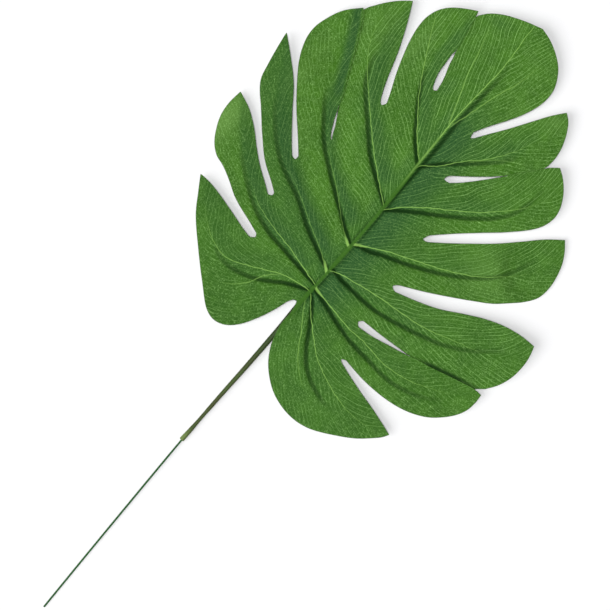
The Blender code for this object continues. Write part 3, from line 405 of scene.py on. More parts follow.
def spline(points, step):
    """Points about a step apart on a smooth curve through the given ones."""
    p = np.array(points, float)
    p = np.vstack([2 * p[0] - p[1], p, 2 * p[-1] - p[-2]])
    out = []
    for i in range(1, len(p) - 2):
        a, b, c, d = p[i - 1:i + 3]
        t0 = 0.0
        t1 = t0 + np.linalg.norm(b - a) ** 0.5
        t2 = t1 + np.linalg.norm(c - b) ** 0.5
        t3 = t2 + np.linalg.norm(d - c) ** 0.5
        n = max(1, int(round(np.linalg.norm(c - b) / step)))
        for t in np.linspace(t1, t2, n, endpoint=False):
            ab = (t1 - t) / (t1 - t0) * a + (t - t0) / (t1 - t0) * b
            bc = (t2 - t) / (t2 - t1) * b + (t - t1) / (t2 - t1) * c
            cd = (t3 - t) / (t3 - t2) * c + (t - t2) / (t3 - t2) * d
            abc = (t2 - t) / (t2 - t0) * ab + (t - t0) / (t2 - t0) * bc
            bcd = (t3 - t) / (t3 - t1) * bc + (t - t1) / (t3 - t1) * cd
            out.append((t2 - t) / (t2 - t1) * abc + (t - t1) / (t2 - t1) * bcd)
    out.append(p[-2])
    return np.array(out)


def lengthened(line, extra=EXTRA):
    """The line with a straight stretch added at both ends."""
    first = line[0] + extra * (line[0] - line[1]) / np.linalg.norm(line[0] - line[1])
    last = line[-1] + extra * (line[-1] - line[-2]) / np.linalg.norm(line[-1] - line[-2])
    return np.vstack([first, line, last])


def slit_end(start, inner, stop):
    """The blunt round end of a slit, between the last points of its two edges."""
    a, m, b = (np.array(q, float) for q in (start, inner, stop))
    return [0.72 * a + 0.28 * m + 0.2 * (m - 0.5 * (a + b)), m,
            0.72 * b + 0.28 * m + 0.2 * (m - 0.5 * (a + b))]


def nearest(pts, line):
    """Distance, side (+1 on the left), length along, and left normal, at the nearest place on a line."""
    a = line[:-1]
    d = line[1:] - a
    length = np.linalg.norm(d, axis=1)
    start = np.concatenate([[0], np.cumsum(length)])[:-1]
    rows = []
    for block in np.array_split(pts, max(1, len(pts) * len(a) // 3000000)):
        rel = block[:, None, :] - a[None]
        t = np.clip((rel * d).sum(2) / (length ** 2), 0, 1)
        off = rel - t[..., None] * d
        dist = np.linalg.norm(off, axis=2)
        k = dist.argmin(1)
        r = np.arange(len(block))
        cross = d[k, 0] * off[r, k, 1] - d[k, 1] * off[r, k, 0]
        normal = np.stack([-d[k, 1], d[k, 0]], 1) / length[k, None]
        side = np.where(cross >= 0, 1.0, -1.0)
        rows.append(np.column_stack([dist[r, k], side, start[k] + t[r, k] * length[k], normal]))
    found = np.vstack(rows)
    return found[:, 0], found[:, 1], found[:, 2], found[:, 3:5]


def place_along(point, line):
    """How far along a line the place nearest to a point is."""
    return nearest(np.array([point], float), line)[2][0]


def smooth(x, lo, hi):
    """0 below lo, 1 above hi, and an easy curve between."""
    t = np.clip((x - lo) / (hi - lo), 0, 1)
    return t * t * (3 - 2 * t)


def seam_edge(pair, side, step):
    """One side of the narrow gap where two lobes meet: its left side (1) from the margin in to its inner end,
    or its right side (-1) back out."""
    line = spline(PARTINGS[pair], 0.5)
    first = SLIT_INNER[pair] if pair == ("L4", "L5") else SEAMS[pair][0]
    i = int(np.linalg.norm(line - np.array(first), axis=1).argmin())
    j = int(np.linalg.norm(line - np.array(SEAMS[pair][1]), axis=1).argmin())
    part = line[i:j + 1]
    keep = np.unique(np.linspace(0, len(part) - 1, max(3, int(0.5 * len(part) / step))).astype(int))
    part = part[keep]
    tangent = np.gradient(part, axis=0)
    tangent /= np.linalg.norm(tangent, axis=1)[:, None]
    left = np.stack([-tangent[:, 1], tangent[:, 0]], 1)
    half_gap = np.full(len(part), SEAM_HALF_GAP)
    if pair == ("L4", "L5"):
        # Open hairline slit before the overlap
        reach = np.linalg.norm(part - part[0], axis=1) / np.linalg.norm(np.array(SEAMS[pair][0]) - part[0])
        half_gap += 0.5 * np.sin(np.pi * np.clip(reach * 1.1, 0, 1)) ** 0.8
    edge = part + left * side * half_gap[:, None]
    return edge if side < 0 else edge[::-1]


def margin(step):
    """The cut edge of the blade as one closed loop, clockwise from the notch at the stem."""
    loop = []
    for i, part in enumerate(CUT_EDGE):
        if isinstance(part, list):
            loop.extend(spline(part, step))
        elif len(part) == 3:
            loop.extend(seam_edge(part[:2], part[2], step))
        else:
            loop.extend(spline(slit_end(CUT_EDGE[i - 1][-1], part, CUT_EDGE[i + 1][0]), END_STEP))
    loop.extend(spline(NOTCH, END_STEP))
    kept = [loop[0]]
    for p in loop[1:]:
        if np.linalg.norm(p - kept[-1]) > LEAST_STEP:
            kept.append(p)
    if np.linalg.norm(kept[-1] - kept[0]) < LEAST_STEP:
        kept.pop()
    return np.array(kept)


def midrib_offset(pts):
    """Distance across from the midrib, positive on the right."""
    line = spline(MIDRIB, 2.0)
    return pts[:, 0] - np.interp(pts[:, 1], line[:, 1], line[:, 0])


def lobe_height(name, pts, level):
    """Height of one lobe's underside: a soft roof along its vein, with its end bent up or down."""
    _, tip_side, stem_side, lift, lift_from = LOBES[name]
    if name == "TIP":
        across = np.abs(midrib_offset(pts))
        along = pts[:, 1] - TIP_START
        fall = tip_side * (np.sqrt(across ** 2 + 16.0) - 4.0)
        return level + lift * np.clip((along - lift_from) / 40, 0, 2) ** 2 - fall * smooth(along, 5, 35)
    line = spline(GROOVES[name], 3.0)
    dist, side, along, _ = nearest(pts, line)
    side = side if name[0] == "R" else -side
    total = np.linalg.norm(np.diff(line, axis=0), axis=1).sum()
    d = dist * side
    soft = np.sqrt(d ** 2 + 9.0) - 3.0
    fall = np.where(d > 0, tip_side, stem_side) * soft
    ratio = np.clip((along - lift_from) / (total - lift_from), 0, 1)
    bend = lift * (smooth(ratio, 0, 1) if name == "R3" else ratio ** 2)
    z = level + bend - fall * smooth(along, 4, 32)
    if name in PADS:
        r = np.linalg.norm(pts - np.array(PADS[name], float), axis=1)
        z = z * smooth(r, PAD_RADIUS, PAD_RADIUS + PAD_BLEND)
        if name == "R3":
            z = z + 1.0 * smooth(r, 7, 15) * smooth(along, 70, 84)
    return z


def groove_depth(pts, sizes):
    """Depth of the pressed side-vein grooves and of the grooves beside the midrib."""
    depth = np.zeros(len(pts))
    dx = midrib_offset(pts)
    clear = smooth(np.abs(dx), 3.0, 8.0)
    for name, points in GROOVES.items():
        reach = LOBES[name][0]
        dist, _, along, _ = nearest(pts, spline(points, 3.0))
        fade = np.clip(1 - along / reach, 0, 1) ** 0.6
        one = sizes.groove * fade * np.exp(-(dist / sizes.groove_half_width) ** 2) * clear
        depth = np.maximum(depth, one)
    y = pts[:, 1]
    right = smooth(y, -4, 6) * (1 - smooth(y, 110, 160)) * np.exp(-((dx - 4.0) / 1.5) ** 2)
    left = smooth(y, -2, 8) * (1 - smooth(y, 60, 84)) * np.exp(-((dx + 4.0) / 1.5) ** 2)
    return np.maximum(depth, MIDRIB_GROOVE_DEPTH * np.maximum(right, left))


def pressed_lines(pts):
    """Depth of the crisp lines that the hot stamp leaves in the printed face, along grooves and midrib."""
    depth = np.zeros(len(pts))
    dx = midrib_offset(pts)
    y = pts[:, 1]
    for name, points in GROOVES.items():
        dist, _, along, _ = nearest(pts, spline(points, 3.0))
        fade = np.clip(1.05 - along / LOBES[name][0], 0, 1) ** 0.6
        line = LINE_DEPTH * fade * np.exp(-(dist / LINE_HALF_WIDTH) ** 2) * smooth(np.abs(dx), 1.6, 4.0)
        depth = np.maximum(depth, line)
    right = np.interp(y, *zip(*RIB_RIGHT)) * np.exp(-((dx - 1.7) / RIB_LINE_HALF_WIDTH) ** 2)
    left = np.interp(y, *zip(*RIB_LEFT)) * np.exp(-((dx + 1.5) / RIB_LINE_HALF_WIDTH) ** 2)
    return np.maximum(depth, LINE_DEPTH * np.maximum(right, left))


def beside_parting(pair, pts, heights):
    """At every point, for one parting line: distance from it, the joined height of its two lobes, and how far
    they are lifted and pushed over each other."""
    line = spline(PARTINGS[pair], 2.0)
    dist, side, along, normal = nearest(pts, line)
    flip = -1.0 if pair[0][0] == "L" else 1.0
    d = dist * side * flip
    inner = place_along(SLIT_INNER[pair], line)
    low, high = heights[pair[0]], heights[pair[1]]
    half = np.where(along < inner, 0.24 + 0.35 * np.clip(inner - along, 0, 22), 0.24)
    w = smooth(d, -half, half)
    value = low * (1 - w) + high * w
    even = np.exp(-((along - inner) / EVEN_LENGTH) ** 2)
    if pair in SEAMS:
        even = np.maximum(even, smooth(along, inner, inner + EVEN_LENGTH))
    mix = even * np.exp(-(d / EVEN_HALF_WIDTHS.get(pair, EVEN_HALF_WIDTH)) ** 2)
    value = value * (1 - mix) + 0.5 * (low + high) * mix
    if pair not in SEAMS:
        return dist, value, np.zeros(len(pts)), np.zeros((len(pts), 2))
    over = np.where(d < 0, 1, -1)
    ramp = smooth(along, inner, inner + 13)
    lift = over * SEAM_STEP * ramp * np.exp(-(d / 7.0) ** 4)
    start = place_along(SEAMS[pair][0], line)
    closing = smooth(along, start - 1, start + 5)
    amount = over * SEAM_PUSH * closing * np.exp(-(d / 8.0) ** 2)
    return dist, value, lift, normal * flip * amount[:, None]


def surface(pts, sizes):
    """Height of the blade's underside, and where each point lies once the lobes overlap."""
    dx = midrib_offset(pts)
    wave = 0.22 * np.sin(pts[:, 0] / 9.0 + 0.6) * np.sin(pts[:, 1] / 11.0) * smooth(np.abs(dx), 15, 45)
    level = LEVEL_OUT + LEVEL_MIDRIB_EXTRA * np.exp(-np.abs(dx) / LEVEL_SPREAD) + wave
    heights = {name: lobe_height(name, pts, level) for name in LOBE_NAMES}
    best = np.full(len(pts), 1e9)
    lobes = np.zeros(len(pts))
    lift = np.zeros(len(pts))
    push = np.zeros((len(pts), 2))
    for pair in PARTINGS:
        dist, value, raised, shift = beside_parting(pair, pts, heights)
        use = ((dx < 0) == (pair[0][0] == "L")) & (dist < best)
        best = np.where(use, dist, best)
        lobes = np.where(use, value, lobes)
        lift = np.where(use, raised, lift)
        push = np.where(use[:, None], shift, push)
    y = pts[:, 1]
    height = RIDGE_HEIGHT * smooth(y, -26, -2) * (1 - 0.75 * smooth(y, 96, 124)) * (1 - smooth(y, 140, 186))
    ridge = height * np.exp(-(dx / RIDGE_HALF_WIDTH) ** 2)
    z = lobes + lift + ridge - groove_depth(pts, sizes) * smooth(lobes, 0.2, 1.5)
    return np.maximum(z, 0.0), pts + push


def lobe_of(pts):
    """Which lobe each point lies in, as an index into the lobe names."""
    left = midrib_offset(pts) < 0
    best = np.full(len(pts), 1e9)
    which = np.zeros(len(pts), int)
    for pair, points in PARTINGS.items():
        on_left = pair[0][0] == "L"
        dist, side, _, _ = nearest(pts, spline(points, 2.0))
        near_side = dist * side * (-1.0 if on_left else 1.0) < 0
        use = (left if on_left else ~left) & (dist < best)
        best = np.where(use, dist, best)
        which = np.where(use, np.where(near_side, LOBE_NAMES.index(pair[0]), LOBE_NAMES.index(pair[1])),
                         which)
    return which


def inside(pts, loop):
    """True for the points within the loop."""
    x0, y0 = loop[:, 0], loop[:, 1]
    x1, y1 = np.roll(x0, -1), np.roll(y0, -1)
    rows = []
    for block in np.array_split(pts, max(1, len(pts) // 1500)):
        x, y = block[:, 0][:, None], block[:, 1][:, None]
        crosses = (y0 > y) != (y1 > y)
        with np.errstate(divide="ignore", invalid="ignore"):
            at = x0 + (y - y0) * (x1 - x0) / (y1 - y0)
        rows.append((crosses & (x < at)).sum(1) % 2 == 1)
    return np.concatenate(rows)


def sheet_points(sizes):
    """The margin loop and an even triangular grid of points within it."""
    loop = margin(EDGE_STEP)[::-1]
    step = sizes.grid
    xs = np.arange(-96, 114, step)
    rows = []
    for i, y in enumerate(np.arange(-50, 191, step * 0.866)):
        rows.append(np.stack([xs + (i % 2) * step / 2, np.full(len(xs), y)], 1))
    grid = np.vstack(rows)
    grid = grid[inside(grid, loop)]
    from_margin = nearest(grid, np.vstack([loop, loop[:1]]))[0]
    return loop, grid[from_margin > 0.55 * step]


# Names of the maps and of the numbers that the blade's face corners carry for print, painted light and shade
MAPS = ("vein_map", "groove_map", "branch_map", "rib_map")
STRENGTHS = ("vein_width", "vein_ink", "groove_ink_and_shade", "band", "branch_ink", "fine_ink", "edge_shadow_ink",
             "rib_left",
             "rib_right", "rib_ink", "rib_width", "pale")


def along_line(pts, points, flip):
    """Length along a line, 0 where the line starts, and signed distance from it, as a two-column map."""
    dist, side, along, _ = nearest(pts, lengthened(spline(points, 2.5)))
    return np.column_stack([along - EXTRA, dist * side * flip])


def vein_strengths(name, along):
    """Width and brightness of a lobe's main printed vein."""
    _, reach, ink = PRINTED[name]
    width = 0.1 + 0.07 * (1 - smooth(along, 5, reach))
    bright = ink * (1 - smooth(along, 0.6 * reach, 1.12 * reach))
    if name in ROOTS:
        root = 1 - smooth(along, 1.5, ROOTS[name] + 3)
        width = width + 0.4 * root
        bright = np.maximum(bright, root)
    return width, bright


def groove_strengths(name, pts, flip):
    """The map of a lobe's groove and how dark it is painted there: part print, part painted shade."""
    if name == "TIP":
        return np.column_stack([pts[:, 1] - TIP_START, midrib_offset(pts)]), np.zeros(len(pts))
    groove = along_line(pts, GROOVES[name], flip)
    ink = np.clip(1.12 - groove[:, 0] / (LOBES[name][0] * 1.12), 0, 1) ** 0.5
    if name in INK_ENDS:
        ink *= 1 - smooth(groove[:, 0], 0.78 * INK_ENDS[name], INK_ENDS[name])
    return groove, ink


def branch_strengths(name, pts, flip):
    """The map of a lobe's thinner veins, how bright they are, and how dark R5's painted shadow on R4 is."""
    none = np.zeros(len(pts))
    if name == "R4":
        # No branch here: painted shadow where R5's edge lies on this lobe
        branch = along_line(pts, PARTINGS[("R5", "R4")], flip)
        return branch, none, smooth(branch[:, 0], 64, 74) * (1 - 0.5 * smooth(branch[:, 0], 88, 100))
    if name == "TIP":
        left, right = (along_line(pts, BRANCHES[key], flip) for key in ("TIP_LEFT", "TIP_RIGHT"))
        branch = np.where((midrib_offset(pts) < 0)[:, None], left, right)
    elif name in BRANCHES:
        branch = along_line(pts, BRANCHES[name], flip)
    else:
        branch = np.full((len(pts), 2), 60.0)
    full, fades, ends = BRANCH_INKS.get(name, (0.0, 1, 2))
    ink = full * smooth(branch[:, 0], 0, 5) * (1 - smooth(branch[:, 0], fades, ends))
    return branch, ink, none


def band_strength(name, pts, groove):
    """How dark a lobe is painted: its own painted shade, the bands beside its groove (part print, part
    painted shade), painted shade beside the midrib, and painted shade on L4 along its edge over L5."""
    dx = midrib_offset(pts)
    y = pts[:, 1]
    amount, fades, ends = BAND_FADES[name if name in BAND_FADES else name[0]]
    band = BANDS[name] * smooth(groove[:, 1], -1.5, 2.5) * (1 - 0.75 * smooth(groove[:, 1], 4.5, 14))
    band *= smooth(groove[:, 0], 2, 14) * (1 - amount * smooth(groove[:, 0], fades, ends))
    # Painted shade beside the midrib, stronger on its right side, which faces away from the light
    on_right = smooth(dx, 0.3, 1.5) * (1 - smooth(dx, 5, 30))
    rib_shade = np.where(dx > 0, on_right, 0.4 * (1 - smooth(-dx, 3, 9)))
    rib_shade *= smooth(y, -6, 8) * (1 - smooth(y, 116, 150))
    # Each lobe's own painted shade darkens the whole lobe
    band = SHADES[name] + (1 - SHADES[name]) * np.maximum(band, rib_shade)
    # Painted shade on L4 along its edge where it lies on L5
    if name == "L4":
        dist, _, along, _ = nearest(pts, spline(PARTINGS[("L4", "L5")], 2.5))
        seam_shade = smooth(dist, 0.5, 1.6) * (1 - smooth(dist, 3.5, 8.0)) * smooth(along, 62, 76)
        band = np.maximum(band, 0.9 * seam_shade)
    return band


def join_bands(pts, maps):
    """Blends the bands of neighbouring lobes where they are not yet parted by a slit."""
    column = STRENGTHS.index("band")
    for (low, high), points in PARTINGS.items():
        line = spline(points, 2.0)
        dist, _, along, _ = nearest(pts, line)
        inner = place_along(SLIT_INNER[(low, high)], line)
        share = 0.5 * (1 - smooth(dist, 0, BAND_JOIN)) * (1 - smooth(along, inner + 1, inner + 6))
        a, b = maps[low][3][:, column].copy(), maps[high][3][:, column].copy()
        maps[low][3][:, column] = a * (1 - share) + b * share
        maps[high][3][:, column] = b * (1 - share) + a * share


def print_maps(pts):
    """For each lobe, the maps and strengths of its print and painted shade, worked out at every point."""
    maps = {}
    for name in LOBE_NAMES:
        flip = 1.0 if name[0] in "RT" else -1.0
        vein = along_line(pts, PRINTED[name][0], flip)
        width, bright = vein_strengths(name, vein[:, 0])
        groove, groove_ink_and_shade = groove_strengths(name, pts, flip)
        branch, branch_ink, edge_shadow = branch_strengths(name, pts, flip)
        band = band_strength(name, pts, groove)
        fine = np.full(len(pts), FINE_VEINS[name])
        strengths = np.column_stack([width, bright, groove_ink_and_shade, band, branch_ink, fine, edge_shadow])
        maps[name] = (vein, groove, branch, strengths)
    join_bands(pts, maps)
    return maps


def patch_strengths(pts, patches):
    """How strong the soft patches (part print, part painted light and shade) are at every point."""
    found = np.zeros(len(pts))
    for middle, half, amount in patches:
        r = np.linalg.norm((pts - np.array(middle, float)) / np.array(half, float), axis=1)
        found = np.maximum(found, amount * np.exp(-r ** 2))
    return found


def rib_strengths(pts):
    """How dark the midrib's two lines are (part print, part painted shade), how bright its printed line is
    and how wide its back shows.
    """
    y = pts[:, 1]
    tables = (RIB_LEFT, RIB_RIGHT, RIB_BRIGHT, RIB_WIDTH)
    return np.column_stack([np.interp(y, *zip(*table)) for table in tables])


def add(tree, kind, inputs=(), **settings):
    """Adds one node with its settings. Inputs are a list from the first socket on, or a dict by socket."""
    node = tree.nodes.new(kind)
    for name, value in settings.items():
        setattr(node, name, value)
    pairs = inputs.items() if isinstance(inputs, dict) else enumerate(inputs)
    for key, value in pairs:
        if isinstance(value, bpy.types.NodeSocket):
            tree.links.new(value, node.inputs[key])
        else:
            node.inputs[key].default_value = value
    return node.outputs


# The kinds of node used most
MATH = "ShaderNodeMath"
RANGE = "ShaderNodeMapRange"
NOISE = "ShaderNodeTexNoise"
MIX = "ShaderNodeMix"
SPLIT = "ShaderNodeSeparateXYZ"
JOIN = "ShaderNodeCombineXYZ"


def new_material(name):
    """An empty node material with a Principled shader wired to its output."""
    mat = bpy.data.materials.new(name)
    mat.use_nodes = True
    tree = mat.node_tree
    return mat, tree, tree.nodes["Principled BSDF"]


def rgba(value):
    return (value[0], value[1], value[2], 1.0)


def millimetres(t):
    """The piece's own place in millimetres, so that patterns have real sizes."""
    place = add(t, "ShaderNodeTexCoord")["Object"]
    return add(t, "ShaderNodeVectorMath", {0: place, 3: 1000.0}, operation="SCALE")[0]


def thread_grid(t, at, pitch):
    """Warp and weft as waves across the blade, with the pitch in mm."""
    place = add(t, SPLIT, [at])
    waves = []
    for axis in (0, 1):
        turns = add(t, MATH, [place[axis], 2 * math.pi / pitch], operation="MULTIPLY")[0]
        waves.append(add(t, MATH, [turns], operation="SINE")[0])
    return add(t, MATH, waves, operation="MAXIMUM")[0]


def ground_tone(t, at, strength, colours):
    """Ground of the print: two greens in soft patches about 30 mm and 7 mm across, then pale patches (part
    print, part painted light) and dark bands (part print, part painted shade)."""
    broad = add(t, NOISE, {"Vector": at, "Scale": 0.035, "Detail": 3.0})[0]
    patch = add(t, NOISE, {"Vector": at, "Scale": 0.15, "Detail": 4.0, "Roughness": 0.6})[0]
    share = add(t, MATH, [broad, patch], operation="ADD")[0]
    share = add(t, RANGE, [share, 0.75, 1.3, 0.0, 1.0])[0]
    tone = add(t, MIX, {0: share, 6: rgba(colours.leaf), 7: rgba(colours.leaf_light)}, data_type="RGBA")[2]
    tone = add(t, MIX, {0: strength["pale"], 6: tone, 7: rgba(colours.pale)}, data_type="RGBA")[2]
    return add(t, MIX, {0: strength["band"], 6: tone, 7: rgba(colours.band)}, data_type="RGBA")[2]


def side_veins(t, at, vein, tipward):
    """Fine side veins: they leave the vein at about 21 degrees, 2 mm apart, and lean forward as they go out.
    A second, fainter set forks off the first."""
    away = add(t, MATH, [vein[1]], operation="ABSOLUTE")[0]
    drift = add(t, NOISE, {"Vector": at, "Scale": 0.06, "Detail": 0.6})[0]
    drift = add(t, MATH, [drift, 13.0, -6.5], operation="MULTIPLY_ADD")[0]
    side = add(t, MATH, [vein[1]], operation="SIGN")[0]
    fork = add(t, RANGE, [tipward, 0.0, 1.0, 1.9, 3.4])[0]
    lines = []
    # Slope and pitch along the vein, half width as a share of the pitch, and seed
    for slope, pitch, thin, seed in ((2.6, 5.4, 0.09, 3.0), (fork, 4.6, 0.105, 11.0)):
        lean = add(t, MATH, [away, 0.012, slope], operation="MULTIPLY_ADD")[0]
        lean = add(t, MATH, [lean, away], operation="MULTIPLY")[0]
        feather = add(t, MATH, [vein[0], lean], operation="SUBTRACT")[0]
        feather = add(t, MATH, [feather, drift], operation="ADD")[0]
        cell = add(t, MATH, [feather, pitch], operation="DIVIDE")[0]
        near = add(t, MATH, [cell, 0.5], operation="PINGPONG")[0]
        number = add(t, MATH, [cell], operation="ROUND")[0]
        number = add(t, MATH, [number, side, seed], operation="MULTIPLY_ADD")[0]
        chance = add(t, "ShaderNodeTexWhiteNoise", {"W": number}, noise_dimensions="1D")[0]
        line = add(t, RANGE, [near, thin, 0.02, 0.0, 1.0], interpolation_type="SMOOTHSTEP")[0]
        across = add(t, MATH, [cell, 0.7], operation="MULTIPLY")[0]
        out = add(t, MATH, [away, 0.22], operation="MULTIPLY")[0]
        spot = add(t, JOIN, [across, out, seed])[0]
        breaks = add(t, NOISE, {"Vector": spot, "Scale": 1.0, "Detail": 3.0, "Roughness": 0.7})[0]
        breaks = add(t, RANGE, [breaks, 0.36, 0.52, 0.1, 1.0])[0]
        line = add(t, MATH, [line, breaks], operation="MULTIPLY")[0]
        chance = add(t, RANGE, [chance, 0.0, 1.0, 0.35, 1.0])[0]
        lines.append(add(t, MATH, [line, chance], operation="MULTIPLY")[0])
    return lines


def finest_veins(t, at, vein):
    """Short strokes across and along the lobe, 0.5 mm wide, and the specks where they meet."""
    strokes = []
    for along, out, seed in ((2.3, 0.5, 2.0), (0.42, 2.3, 7.0)):
        along = add(t, MATH, [vein[0], along], operation="MULTIPLY")[0]
        out = add(t, MATH, [vein[1], out], operation="MULTIPLY")[0]
        spot = add(t, JOIN, [along, out, seed])[0]
        spot = add(t, NOISE, {"Vector": spot, "Scale": 1.0, "Detail": 1.0})[0]
        strokes.append(add(t, RANGE, [spot, 0.58, 0.72, 0.0, 1.0])[0])
    net = add(t, MATH, strokes, operation="MAXIMUM")[0]
    speck = add(t, "ShaderNodeTexVoronoi", {"Vector": at, "Scale": 0.72, "Randomness": 1.0})
    often = add(t, "ShaderNodeSeparateColor", [speck["Color"]])[0]
    often = add(t, RANGE, [often, 0.45, 0.7, 0.0, 1.0])[0]
    speck = add(t, RANGE, [speck["Distance"], 0.3, 0.12, 0.0, 1.0])[0]
    return net, add(t, MATH, [speck, often], operation="MULTIPLY")[0]


def fleck_share(t, at, vein, grid, grain, strength):
    """How much of the fleck colour shows: side veins, finest veins, specks and the thread grid, calmer on
    dark bands."""
    tipward = add(t, RANGE, [vein[1], -1.5, 1.5, 0.0, 1.0])[0]
    lines = side_veins(t, at, vein, tipward)
    flecks = add(t, MATH, [grid, 0.11, grain], operation="MULTIPLY_ADD")[0]
    flecks = add(t, RANGE, [flecks, 0.52, 0.74, 0.0, 1.0])[0]
    net, speck = finest_veins(t, at, vein)
    main_share = add(t, RANGE, [tipward, 0.0, 1.0, 0.54, 0.74])[0]
    net_share = add(t, RANGE, [tipward, 0.0, 1.0, 0.3, 0.2])[0]
    fork_share = add(t, RANGE, [tipward, 0.0, 1.0, 0.26, 0.32])[0]
    both = add(t, MATH, [lines[1], fork_share], operation="MULTIPLY")[0]
    both = add(t, MATH, [lines[0], main_share, both], operation="MULTIPLY_ADD")[0]
    fine = add(t, MATH, [flecks, 0.12], operation="MULTIPLY")[0]
    fine = add(t, MATH, [speck, 0.29, fine], operation="MULTIPLY_ADD")[0]
    fine = add(t, MATH, [net, net_share, fine], operation="MULTIPLY_ADD")[0]
    fine = add(t, MATH, [both, strength["fine_ink"], fine], operation="MULTIPLY_ADD", use_clamp=True)[0]
    calm = add(t, RANGE, [strength["band"], 0.0, 1.0, 1.0, 0.6])[0]
    return add(t, MATH, [fine, calm], operation="MULTIPLY")[0]


def dark_lines(t, at, groove, branch, rib, strength):
    """Dark print with painted shade in the grooves and on both sides of the midrib, and the painted shadow
    where R5's edge lies on R4.
    """
    # Dark ink along the grooves: part print, part painted shade in the groove
    wobble = add(t, NOISE, {"Vector": at, "Scale": 0.3, "Detail": 2.0})[0]
    wobble = add(t, MATH, [wobble, 0.9, -0.45], operation="MULTIPLY_ADD")[0]
    off = add(t, MATH, [groove[1], wobble], operation="ADD")[0]
    off = add(t, MATH, [off], operation="ABSOLUTE")[0]
    dark = add(t, RANGE, [off, 1.9, 0.4, 0.0, 0.95], interpolation_type="SMOOTHSTEP")[0]
    dark = add(t, MATH, [dark, strength["groove_ink_and_shade"]], operation="MULTIPLY")[0]
    # Painted shadow where R5's edge lies on R4
    off = add(t, MATH, [branch[1]], operation="ABSOLUTE")[0]
    edge_shadow = add(t, RANGE, [off, 3.7, 1.9, 0.0, 0.85], interpolation_type="SMOOTHSTEP")[0]
    edge_shadow = add(t, MATH, [edge_shadow, strength["edge_shadow_ink"]], operation="MULTIPLY")[0]
    dark = add(t, MATH, [dark, edge_shadow], operation="MAXIMUM")[0]
    # Dark lines beside the midrib: part print, part painted shade of the ridge's flanks
    right = add(t, RANGE, [rib[1], 76.0, 104.0, 1.55, 2.4])[0]
    for middle, key in ((-1.35, "rib_left"), (right, "rib_right")):
        off = add(t, MATH, [rib[0], middle], operation="SUBTRACT")[0]
        off = add(t, MATH, [off], operation="ABSOLUTE")[0]
        spread = add(t, RANGE, [rib[1], 70.0, 104.0, 0.9, 2.1])[0]
        line = add(t, RANGE, [off, spread, 0.2, 0.0, 0.9], interpolation_type="SMOOTHSTEP")[0]
        line = add(t, MATH, [line, strength[key]], operation="MULTIPLY")[0]
        dark = add(t, MATH, [dark, line], operation="MAXIMUM")[0]
    return dark


def midrib_back(t, rib, strength):
    """Where the midrib's raised back shows plain green, from the notch to where it flattens."""
    off = add(t, MATH, [rib[0]], operation="ABSOLUTE")[0]
    off = add(t, MATH, [off, strength["rib_width"]], operation="DIVIDE")[0]
    back = add(t, RANGE, [off, 1.35, 0.85, 0.0, 0.85], interpolation_type="SMOOTHSTEP")[0]
    for start, stop in ((104.0, 84.0), (-24.0, -4.0)):
        fade = add(t, RANGE, [rib[1], start, stop, 0.0, 1.0])[0]
        back = add(t, MATH, [back, fade], operation="MULTIPLY")[0]
    return back


def bright_veins(t, at, vein, branch, rib, back, strength):
    """Bright printed veins, a little wavy, which stop at the midrib's back, and the line along the midrib."""
    wiggle = add(t, NOISE, {"Vector": at, "Scale": 0.22, "Detail": 3.0})[0]
    wiggle = add(t, MATH, [wiggle, 1.2, -0.6], operation="MULTIPLY_ADD")[0]
    ink = []
    for source, width, key in ((vein[1], strength["vein_width"], "vein_ink"),
                               (branch[1], 0.22, "branch_ink")):
        off = add(t, MATH, [source, wiggle], operation="ADD")[0]
        off = add(t, MATH, [off], operation="ABSOLUTE")[0]
        part = add(t, MATH, [off, width], operation="DIVIDE")[0]
        line = add(t, RANGE, [part, 1.9, 0.5, 0.0, 1.0], interpolation_type="SMOOTHSTEP")[0]
        ink.append(add(t, MATH, [line, strength[key]], operation="MULTIPLY")[0])
    off = add(t, MATH, [rib[0], 0.05], operation="ADD")[0]
    off = add(t, MATH, [off], operation="ABSOLUTE")[0]
    line = add(t, RANGE, [off, 0.8, 0.2, 0.0, 0.75], interpolation_type="SMOOTHSTEP")[0]
    own = add(t, MATH, [line, strength["rib_ink"]], operation="MULTIPLY")[0]
    bright = add(t, MATH, ink, operation="MAXIMUM")[0]
    clear = add(t, MATH, [1.0, back], operation="SUBTRACT")[0]
    bright = add(t, MATH, [bright, clear], operation="MULTIPLY")[0]
    return add(t, MATH, [bright, own], operation="MAXIMUM", use_clamp=True)[0]


def printed_polyester(colours, sizes):
    """Woven polyester, heat-transfer printed and pressed: matt, with the thread grid showing through the
    print as light flecks. Real threads are about 0.25 mm apart, and are drawn four times as coarse so that
    they show."""
    mat, t, shader = new_material("printed_polyester")
    at = millimetres(t)
    vein, groove, branch, rib = (add(t, SPLIT,
                                     [add(t, "ShaderNodeUVMap", uv_map=name)[0]]) for name in MAPS)
    strength = {name: add(t, "ShaderNodeAttribute", attribute_name=name)["Fac"] for name in STRENGTHS}
    grid = thread_grid(t, at, sizes.weave)
    grain = add(t, NOISE, {"Vector": at, "Scale": 0.95, "Detail": 3.0, "Roughness": 0.65})[0]
    tone = ground_tone(t, at, strength, colours)
    fine = fleck_share(t, at, vein, grid, grain, strength)
    dark = dark_lines(t, at, groove, branch, rib, strength)
    back = midrib_back(t, rib, strength)
    bright = bright_veins(t, at, vein, branch, rib, back, strength)
    layers = ((fine, colours.fleck), (dark, colours.groove), (back, colours.rib), (bright, colours.vein))
    for share, ink in layers:
        tone = add(t, MIX, {0: share, 6: tone, 7: rgba(ink)}, data_type="RGBA")[2]
    relief = add(t, MATH, [grid, 0.3, grain], operation="MULTIPLY_ADD")[0]
    bump = add(t, "ShaderNodeBump", {"Strength": 0.35, "Distance": 0.00012, "Height": relief})[0]
    rough = add(t, RANGE, [grain, 0.3, 0.7, 0.56, 0.7])[0]
    t.links.new(tone, shader.inputs["Base Color"])
    t.links.new(bump, shader.inputs["Normal"])
    t.links.new(rough, shader.inputs["Roughness"])
    shader.inputs["Specular IOR Level"].default_value = 0.05
    return mat


